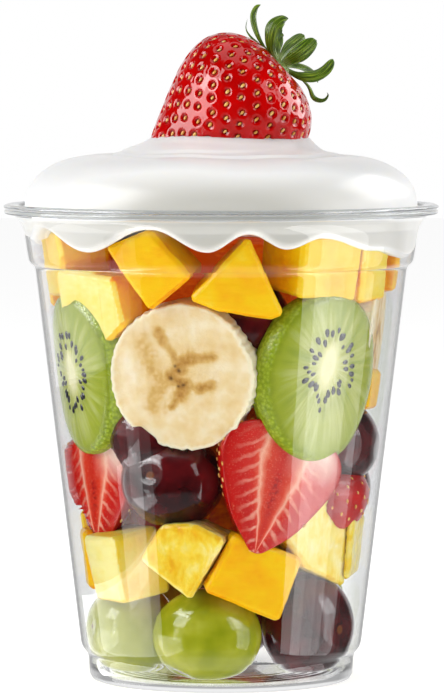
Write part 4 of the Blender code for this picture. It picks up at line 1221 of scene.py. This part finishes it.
def kiwi_rings(at, units, core_edge):
    """A slice's rings from the middle of its face over its rounded edge to the back."""
    edge_turn = math.asin(KIWI_FACE ** (1 / KIWI_ROUNDING))
    shares = np.linspace(0, KIWI_FACE, 48)
    angles = np.concatenate([
        np.arcsin(shares ** (1 / KIWI_ROUNDING)),
        np.linspace(edge_turn, math.pi - edge_turn, 26)[1:-1],
        math.pi - np.arcsin(shares[::-3] ** (1 / KIWI_ROUNDING)),
    ])
    rings, own, side = [], [], []
    for angle in angles:
        share = math.sin(angle) ** KIWI_ROUNDING if angle < math.pi - 1e-6 else 0.0
        lean = math.cos(angle)
        sunk = 0.5 - 0.5 * math.copysign(abs(lean) ** KIWI_ROUNDING, lean)
        inner = KIWI_CORE_TONE * share / core_edge
        outer = KIWI_CORE_TONE + (1 - KIWI_CORE_TONE) * (share - core_edge) / (1 - core_edge)
        rings.append(at(share, sunk))
        own.append(np.column_stack([
            units * min(1.0, share * 40), np.where(share < core_edge, inner, outer),
        ]))
        side.append(np.full(len(units), float(smooth_step(sunk, 0.10, 0.17))))
    return rings, own, side


def make_kiwis(pips, seed_coat, flesh):
    """Kiwi slices bent to the wall, each with its seeds in a ring round the core."""
    chance = random.Random(3)
    for node, *sizes_and_place in KIWIS:
        at, units, core_edge = kiwi_slice(*sizes_and_place)
        rings, own, side = kiwi_rings(at, units, core_edge)
        mesh = closed_mesh(f"{node}_fruit", rings, own=own, side=side)
        settle(mesh, node, 1.1)
        add_piece(f"{node}_fruit", mesh, flesh, "kiwi", node)
        spots, out, along, sizes = [], [], [], []
        for number in range(KIWI_SEEDS):
            column = int((number + chance.uniform(-0.35, 0.35)) / KIWI_SEEDS * len(units))
            column %= len(units)
            away = chance.choice(KIWI_SEED_TONES) + chance.uniform(-0.02, 0.03)
            edge = core_edge[column]
            share = edge + (away - KIWI_CORE_TONE) / (1 - KIWI_CORE_TONE) * (1 - edge)
            spot, further = at(share, 0.012)[column], at(share + 0.05, 0.012)[column]
            turn = math.atan2(spot[0], -spot[1])
            spots.append(spot)
            along.append((further - spot) / np.linalg.norm(further - spot))
            out.append((math.sin(turn), -math.cos(turn), -0.12))
            sizes.append(chance.uniform(0.75, 1.15))
        make_seeds(
            f"{node}_seeds", pips, "kiwi", seed_coat, spots, along, out, sizes,
            Width=1.1 * MM, Thickness=0.65 * MM, Length=1.85 * MM, Taper=-0.5,
        )


BANANA_MARKS = (  # from x, z to x, z, half width, strength of each ochre mark on a slice
    (-8.6, 7.4, -6.6, 1.6, 2.0, 0.30),
    (-6.6, 1.6, -4.4, -0.6, 1.6, 0.34),
    (-5.0, 10.0, -4.2, 8.4, 1.1, 0.50),
    (-4.2, 8.4, -1.6, 5.0, 0.8, 0.42),
    (-1.6, 5.0, -0.6, 2.6, 0.8, 0.50),
    (-0.2, 3.2, 2.4, 4.6, 1.3, 0.62),
    (2.4, 4.6, 6.8, 4.7, 1.1, 0.50),
    (0.6, -1.6, 3.4, -2.6, 0.8, 0.45),
    (3.4, -2.6, 6.6, -1.8, 1.0, 0.58),
    (2.0, 0.8, 7.0, 0.6, 1.6, 0.16),
    (-3.6, -0.6, -5.8, -3.6, 1.6, 0.36),
    (-5.8, -3.6, -7.0, -6.8, 1.5, 0.34),
    (-1.6, -2.4, -4.0, -7.4, 1.2, 0.24),
    (-2.6, -6.8, -0.8, -4.4, 0.8, 0.55),
    (-0.6, -4.0, 0.6, -1.6, 1.2, 0.70),
    (-2.4, 0.2, 0.2, 2.0, 1.3, 0.62),
    (-2.0, -0.2, 0.6, -1.4, 1.2, 0.62),
)
BANANA_DOTS = ((-1.1, 2.6, 0.35), (-2.4, 0.0, 0.5), (0.3, -1.7, 0.42), (-0.8, -2.0, 0.35),
               (-0.2, 1.6, 0.4))


def banana_marks(x, z):
    """The ochre marks round the three seed chambers and the dark dots at a slice's middle."""
    points = np.stack([x / 5, z / 5, 0 * x], axis=-1).reshape(-1, 3)
    blur = np.array([noise.noise_vector(Vector(p)) for p in points]).reshape(*x.shape, 3)
    x, z = x + 0.8 * blur[..., 0], z + 0.8 * blur[..., 1]
    seam = np.zeros_like(x)
    for x0, z0, x1, z1, half, strength in BANANA_MARKS:
        run = np.array([x1 - x0, z1 - z0])
        t = np.clip(((x - x0) * run[0] + (z - z0) * run[1]) / (run @ run), 0.0, 1.0)
        away = np.hypot(x - x0 - run[0] * t, z - z0 - run[1] * t)
        seam = np.maximum(seam, 1.25 * strength * np.exp(-(away / (1.45 * half)) ** 2))
    dots = np.zeros_like(x)
    for dot_x, dot_z, size in BANANA_DOTS:
        dots = np.maximum(dots, np.exp(-(np.hypot(x - dot_x, z - dot_z) / size) ** 2))
    return seam, 0.85 * dots


def banana_profile(thickness):
    """A slice's profile as (share of the way out, depth): face, corner, side, corner, back."""
    corner = BANANA_CORNER
    front = [(share, 0.0) for share in np.linspace(0, 1 - corner, 68)]
    front += [(1 - corner + corner * math.sin(a), 0.6 * (1 - math.cos(a)))
              for a in np.radians(np.linspace(0, 90, 6))[1:]]
    sides = [(1.0, y) for y in np.linspace(0.9, thickness - 0.9, 14)]
    rear = [(share, thickness - y) for share, y in reversed(front[::3])]
    rear[-1] = (0.0, thickness)
    return front + sides + rear


def make_bananas(flesh):
    """Banana slices: a flat cut face with its marks, and a soft ragged edge."""
    noise.seed_set(3)  # noise_vector would follow the clock otherwise
    turns = np.linspace(0, math.tau, 260, endpoint=False)
    for number, (node, bearing, height, reach, lean, radius, thickness) in enumerate(BANANAS):
        ragged = 0.45 * (ring_noise(turns, number, 1.5) + ring_noise(turns, number, 14))
        swell = radius * (1 + 0.012 * np.cos(5 * turns + number)) + ragged
        marks_turn = math.radians(37 * number)
        rings, seams, dots, rims, owns = [], [], [], [], []
        for share, y in banana_profile(thickness):
            x, z = share * swell * np.cos(turns), share * swell * np.sin(turns)
            wavy = 0.0
            if share > 0.99:
                wavy = 0.16 * np.sin(8 * turns + 1.3 * y) * math.sin(math.pi * y / thickness)
            spread = 1 + wavy / radius
            rings.append(np.stack([x * spread, 0 * x + y, z * spread], axis=-1))
            seam, dot = banana_marks(x * math.cos(marks_turn) - z * math.sin(marks_turn),
                                     x * math.sin(marks_turn) + z * math.cos(marks_turn))
            on_face = 1.0 if y < 0.4 or y > thickness - 0.4 else 0.0
            seams.append(seam * on_face)
            dots.append(dot * on_face)
            rims.append(np.full(len(turns), float(smooth_step(share, 0.93, 0.97))))
            owns.append(np.stack([x + 50 * number, 0 * x + y, z], axis=-1))
        rings = np.array(rings)
        rings[0] = rings[0, 0]
        rings[-1] = rings[-1, 0]
        points = placed(rings, facing(bearing, height, reach, 0, lean))
        mesh = closed_mesh(f"{node}_fruit", points, own=owns, seam=seams, dots=dots, rim=rims)
        settle(mesh, node, 0.7)
        add_piece(f"{node}_fruit", mesh, flesh, "banana", node)


# ---- grapes -------------------------------------------------------------------------------------
def grape_tree(name, material):
    """A grape: a stretched ball, faintly uneven, with a dimple where its stem was."""
    tree = geometry_tree(name, (
        ("Half Sizes", "NodeSocketVector", (0.01, 0.01, 0.01)),
        ("Unevenness", "NodeSocketFloat", 0.02),
        ("Seed", "NodeSocketFloat", 0.0),
        ("Scar", "NodeSocketVector", (0.0, -1.0, 0.0)),
        ("Dimple Reach", "NodeSocketFloat", 0.22),
        ("Dimple Depth", "NodeSocketFloat", 0.07),
    ))
    given = add(tree, "NodeGroupInput")
    ball = add(tree, "GeometryNodeMeshUVSphere", {"Segments": 112, "Rings": 72, "Radius": 1.0})
    unit = add(tree, "GeometryNodeInputPosition")
    shift = add(tree, "VectorMath", (unit, given.outputs["Seed"]), operation="ADD")
    bumps = add(tree, "TexNoise", {"Vector": shift, "Scale": 0.9, "Detail": 1.0})
    level = add(tree, "Math", (bumps, 0.5), operation="SUBTRACT")
    uneven = add(tree, "Math", (level, given.outputs["Unevenness"], 1.0), operation="MULTIPLY_ADD")
    toward = add(tree, "VectorMath", (unit, given.outputs["Scar"]), operation="DOT_PRODUCT")
    capped = add(tree, "Clamp", (toward.outputs["Value"], -1.0, 1.0))
    away = add(tree, "Math", (capped,), operation="ARCCOSINE")
    share = add(tree, "Math", (away, given.outputs["Dimple Reach"]), operation="DIVIDE")
    square = add(tree, "Math", (share, 2.6), operation="POWER")
    down = add(tree, "Math", (square, -1.0), operation="MULTIPLY")
    bowl = add(tree, "Math", (down,), operation="EXPONENT")
    dent = add(tree, "Math", (bowl, given.outputs["Dimple Depth"]), operation="MULTIPLY")
    scale = add(tree, "Math", (uneven, dent), operation="SUBTRACT")
    sized = add(tree, "VectorMath", (unit, given.outputs["Half Sizes"]), operation="MULTIPLY")
    real = add(tree, "VectorMath", {"Vector": sized, "Scale": scale}, operation="SCALE")
    marked = add(tree, "GeometryNodeStoreNamedAttribute", {
        "Geometry": ball.outputs["Mesh"], "Name": "own", "Value": shift,
    }, data_type="FLOAT_VECTOR")
    across = add(tree, "Math", (away, 10.0), operation="MULTIPLY")
    scarred = add(tree, "GeometryNodeStoreNamedAttribute", {
        "Geometry": marked, "Name": "scar", "Value": across,
    }, data_type="FLOAT")
    shaped = add(tree, "GeometryNodeSetPosition", {"Geometry": scarred, "Position": real})
    end_tree(tree, shaped, material)
    return tree


def make_grapes():
    """Red and green grapes, pressed a little against what they touch."""
    finishes = {
        "red_grape": grape_skin(
            "red grape skin", ("#220204", "#44070B", "#661116", "#8A4A20"),
            (1.0, 0.10, 0.06), 0.12,
        ),
        "green_grape": grape_skin(
            "green grape skin", ("#929C10", "#A6AC24", "#BEC04A", "#D6D088"),
            (1.0, 1.0, 0.2), 0.4,
        ),
    }
    trees = {kind: grape_tree(f"{kind} shape", finish) for kind, finish in finishes.items()}
    for number, (node, bearing, height, reach, half_sizes, scar) in enumerate(GRAPES):
        kind = "_".join(node.split("_")[:2])
        turn, rise = (math.radians(a) for a in (scar[0] - bearing, scar[1]))
        toward = (math.sin(turn) * math.cos(rise), -math.cos(turn) * math.cos(rise),
                  math.sin(rise))
        mesh = run_tree(trees[kind], bpy.data.meshes.new(node), {
            "Half Sizes": [size * MM for size in half_sizes],
            "Seed": number * 3.1, "Scar": list(toward),
        })
        move_points(mesh, placed(points_of(mesh), facing(bearing, height, reach)))
        settle(mesh, node, 0.95)
        add_piece(f"{node}_fruit", mesh, finishes[kind], kind, node)


# ---- blocks of mango and pineapple --------------------------------------------------------------
def fine_solid(node, grain, softening):
    """A CAD solid as an even fine mesh with its edges softened."""
    shape = bmesh.new()
    shape.from_mesh(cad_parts[node].data)
    bmesh.ops.remove_doubles(shape, verts=shape.verts, dist=0.000002)
    mesh = bpy.data.meshes.new(node)
    shape.to_mesh(mesh)
    shape.free()
    carrier = bpy.data.objects.new("carrier", mesh)
    bpy.context.scene.collection.objects.link(carrier)
    remesh = carrier.modifiers.new("grain", "REMESH")
    remesh.mode = "VOXEL"
    remesh.voxel_size = grain * MM
    soften = carrier.modifiers.new("soften", "SMOOTH")
    soften.factor = 0.5
    soften.iterations = softening
    graph = bpy.context.evaluated_depsgraph_get()
    made = bpy.data.meshes.new_from_object(carrier.evaluated_get(graph))
    bpy.data.objects.remove(carrier)
    return made


def make_blocks():
    """Every mango and pineapple block: softened knife cuts, an uneven wet surface."""
    finishes = {"mango": mango_flesh(), "pineapple": pineapple_flesh()}
    # The hidden blocks glow orange by emission, though they are no lamp: painted light.
    deep = mango_flesh("mango flesh between the upper blocks, painted orange glow", 0.30)
    deeper = mango_flesh("mango flesh between the lower blocks, painted orange glow", 0.06)
    nodes = sorted(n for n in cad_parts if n.split("_")[0] in finishes)
    for number, node in enumerate(nodes):
        kind = node.split("_")[0]
        hidden = "inner" in node
        behind = "back" in node
        mesh = fine_solid(node, 0.9 if hidden else 0.5 if behind else 0.3, 1)
        points, normals = points_of(mesh), points_of(mesh, "normal")
        centre = points.mean(axis=0)
        bearing = math.atan2(centre[0], -centre[1])
        turn = np.array(Matrix.Rotation(-bearing, 3, "Z"))
        own = (points - centre) @ turn.T
        solid = solid_tree(node)
        cut = np.array([solid.find_nearest(Vector(point * MM))[1] for point in points])
        facing_out = -(cut @ turn.T)[:, 1]
        bent = 1.0 - np.abs(np.sum(cut * normals, axis=1))
        # The tones set the faces that look out apart from the rest: partly the flesh's own tone,
        # partly painted light and shade.
        front, others = HIDDEN_PAINTED_SHADE_TONE if hidden else PALE_AND_SHADED_FACES.get(node, BLOCK_TONE_AND_SHADE)
        tone = others + (front - others) * smooth_step(facing_out, 0.5, 0.75)
        # Painted highlight: the tone rises where the softened edges turn.
        tone += EDGE_HIGHLIGHT_TONE[kind] * smooth_step(bent, 0.02, 0.12)
        lift = 0.16 * waves(points, 6.0, number)
        if kind == "pineapple":
            drawn = own * np.array([1.0, 1.0, 0.4])
            lift += 0.10 * waves(drawn, 1.3, number) + 0.14 * waves(points, 1.8, number)
        else:
            lift += 0.06 * waves(own * np.array([0.3, 1.0, 1.0]), 1.2, number)
        move_points(mesh, keep_inside(points + normals * lift[:, None]))
        store(mesh, "own", own + 40.0 * number)
        store(mesh, "tone", tone)
        finish = finishes[kind]
        if hidden:
            finish = deep if "top" in node else deeper
        add_piece(f"{node}_fruit", mesh, finish, kind, node)


# ---- light, floor and camera --------------------------------------------------------------------
# Places are in metres here, as Blender's lamps and cameras take them.
CAMERA_AT = (0.0002, -1.152, 0.144)
CAMERA_AIM = (0.0002, 0.0, 0.0743)
CAMERA_LENS = 263.0
CAMERA_CLIP = (0.05, 20.0)
FLOOR_REACH = 3.0
ROOM_LIGHT = 0.40  # what the room gives to matt surfaces; the backdrop itself is 1


def look_at(thing, target):
    """Turn a camera or a lamp, whose -Z looks out, towards a point."""
    way = Vector(target) - thing.location
    thing.rotation_euler = way.to_track_quat("-Z", "Y").to_euler()


def make_camera():
    """The camera: a long lens a little above the cup, looking slightly down at its middle."""
    data = bpy.data.cameras.new("camera")
    data.lens = CAMERA_LENS
    data.clip_start, data.clip_end = CAMERA_CLIP
    camera = bpy.data.objects.new("camera", data)
    camera.location = CAMERA_AT
    look_at(camera, CAMERA_AIM)
    bpy.context.scene.collection.objects.link(camera)
    bpy.context.scene.camera = camera


# name, place, aim, width, height in metres, radiance, lights what is matt as well
SOFTBOXES = (
    ("right_near", (0.072, -0.0630, 0.048), (0.0, -0.0630, 0.048), 0.029, 0.144, 2.7, False),
    ("right_middle", (0.072, -0.0365, 0.048), (0.0, -0.0365, 0.048), 0.024, 0.144, 1.8, False),
    ("right_far", (0.072, -0.0140, 0.048), (0.0, -0.0140, 0.048), 0.021, 0.144, 0.15, False),
    ("left_top", (-0.072, -0.0225, 0.078), (0.0, -0.0225, 0.078), 0.053, 0.036, 0.8, False),
    ("left_tall", (-0.072, -0.0650, 0.040), (0.0, -0.0650, 0.040), 0.030, 0.080, 0.6, False),
    ("left_low", (-0.0725, -0.0370, -0.012), (0.0, -0.0370, -0.012), 0.086, 0.046, 2.4, False),
    ("left_strip", (-0.0715, -0.0570, 0.020), (0.0, -0.0570, 0.020), 0.014, 0.034, 2.4, False),
    ("berry_left", (-0.090, -0.038, 0.142), (0.0, 0.0, 0.130), 0.082, 0.084, 6.4, False),
    ("berry_right", (0.085, 0.012, 0.150), (0.0, 0.0, 0.132), 0.074, 0.055, 5.2, False),
    ("key", (-0.78, -0.38, 0.62), (0, 0, 0.08), 0.50, 0.50, 5.4, True),
    ("fill", (0.72, -0.42, 0.55), (0, 0, 0.08), 0.50, 0.50, 2.8, True),
    ("above", (0.0, 0.05, 0.85), (0, 0, 0.05), 0.70, 0.70, 0.9, True),
)


def make_lamps():
    """Large softboxes, and panels close beside the cup that only its shiny surfaces mirror."""
    for name, place, aim, width, height, radiance, matt in SOFTBOXES:
        data = bpy.data.lights.new(name, "AREA")
        data.shape = "RECTANGLE"
        data.size = width
        data.size_y = height
        data.energy = radiance * math.pi * width * height
        lamp = bpy.data.objects.new(name, data)
        lamp.location = place
        look_at(lamp, aim)
        lamp.visible_camera = False
        lamp.visible_transmission = False
        lamp.visible_diffuse = matt
        bpy.context.scene.collection.objects.link(lamp)


def make_room():
    """A white room, which shiny surfaces mirror as dark except below, behind and overhead.

    The backdrop is white to the camera and through the cup, and darker where the plastic bends
    the view upwards. What a wall's inside mirrors counts as mirrored too.
    """
    world = bpy.data.worlds.new("white room")
    bpy.context.scene.world = world
    world.use_nodes = True
    tree = world.node_tree
    back = tree.nodes["Background"]
    back.inputs["Color"].default_value = linear("#FFFFFF")
    path = add(tree, "LightPath").outputs
    way = add(tree, "TexCoord").outputs["Generated"]
    parts = add(tree, "SeparateXYZ", (way,)).outputs
    rise = parts["Z"]
    seen = add(tree, "Math", (path["Is Camera Ray"], path["Is Transmission Ray"]),
               operation="MAXIMUM")
    bent = add(tree, "MapRange", (rise, 0.12, 0.40, 0.0, 0.35))
    grey = add(tree, "Math", (bent, path["Is Transmission Ray"]), operation="MULTIPLY")
    backdrop = add(tree, "Math", (1.0, grey), operation="SUBTRACT")
    room = add(tree, "Mix", {"Factor": seen, "A": ROOM_LIGHT, "B": backdrop})
    below = add(tree, "MapRange", (rise, -0.40, -0.55, 0.02, 0.45))
    behind = add(tree, "MapRange", (parts["Y"], 0.62, 0.80, 0.0, 0.9))
    low = add(tree, "MapRange", (rise, 0.20, 0.50, 1.0, 0.15))
    rear = add(tree, "Math", (behind, low), operation="MULTIPLY")
    ceiling = add(tree, "MapRange", (rise, 0.80, 0.94, 0.0, 0.3))
    sides = add(tree, "Math", (below, rear), operation="MAXIMUM")
    shine = add(tree, "Math", (sides, ceiling), operation="MAXIMUM")
    outside = add(tree, "Math", (path["Is Glossy Ray"], path["Is Transmission Ray"]),
                  operation="SUBTRACT", use_clamp=True)
    inside = add(tree, "MapRange", (path["Glossy Depth"], 0.0, 1.0, 0.0, 1.0))
    mirrored = add(tree, "Math", (outside, inside), operation="MAXIMUM")
    power = add(tree, "Mix", {"Factor": mirrored, "A": room, "B": shine})
    tree.links.new(power.outputs[0], back.inputs["Strength"])


def make_floor():
    """A plain white floor that fades into the room."""
    mesh = bpy.data.meshes.new("floor")
    near, far = -FLOOR_REACH, FLOOR_REACH
    corners = [(near, near, 0), (far, near, 0), (far, far, 0), (near, far, 0)]
    mesh.from_pydata(corners, [], [(0, 1, 2, 3)])
    floor = bpy.data.objects.new("floor", mesh)
    bpy.context.scene.collection.objects.link(floor)
    made, _, _ = new_material("white studio floor, matt", Base_Color="#FFFFFF", Roughness=0.9,
                              Emission_Color="#FFFFFF", Emission_Strength=0.55,
                              Specular_IOR_Level=0.0)
    mesh.materials.append(made)
    floor.visible_glossy = False
    floor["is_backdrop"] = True


# ---- making -------------------------------------------------------------------------------------
def main():
    """Everything, in the order in which random draws and names depend on it."""
    make_camera()
    make_lamps()
    make_room()
    make_floor()
    bpy.context.scene.view_settings.view_transform = "Standard"
    make_cup()
    husk, pip_coat = seed_husk(), kiwi_seed()
    achenes = seed_tree("achenes", husk)
    pips = seed_tree("kiwi seeds", pip_coat)
    make_cream(solid_tree("strawberry_top"))
    make_top_berry(achenes, husk, berry_skin())
    make_crown(leaf_green())
    make_halves(achenes, husk, halved_berry())
    make_kiwis(pips, pip_coat, kiwi_flesh())
    make_bananas(banana_flesh())
    make_grapes()
    make_blocks()


main()
[[list(corner) for corner in box] for box in (CAD_BOX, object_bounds())]
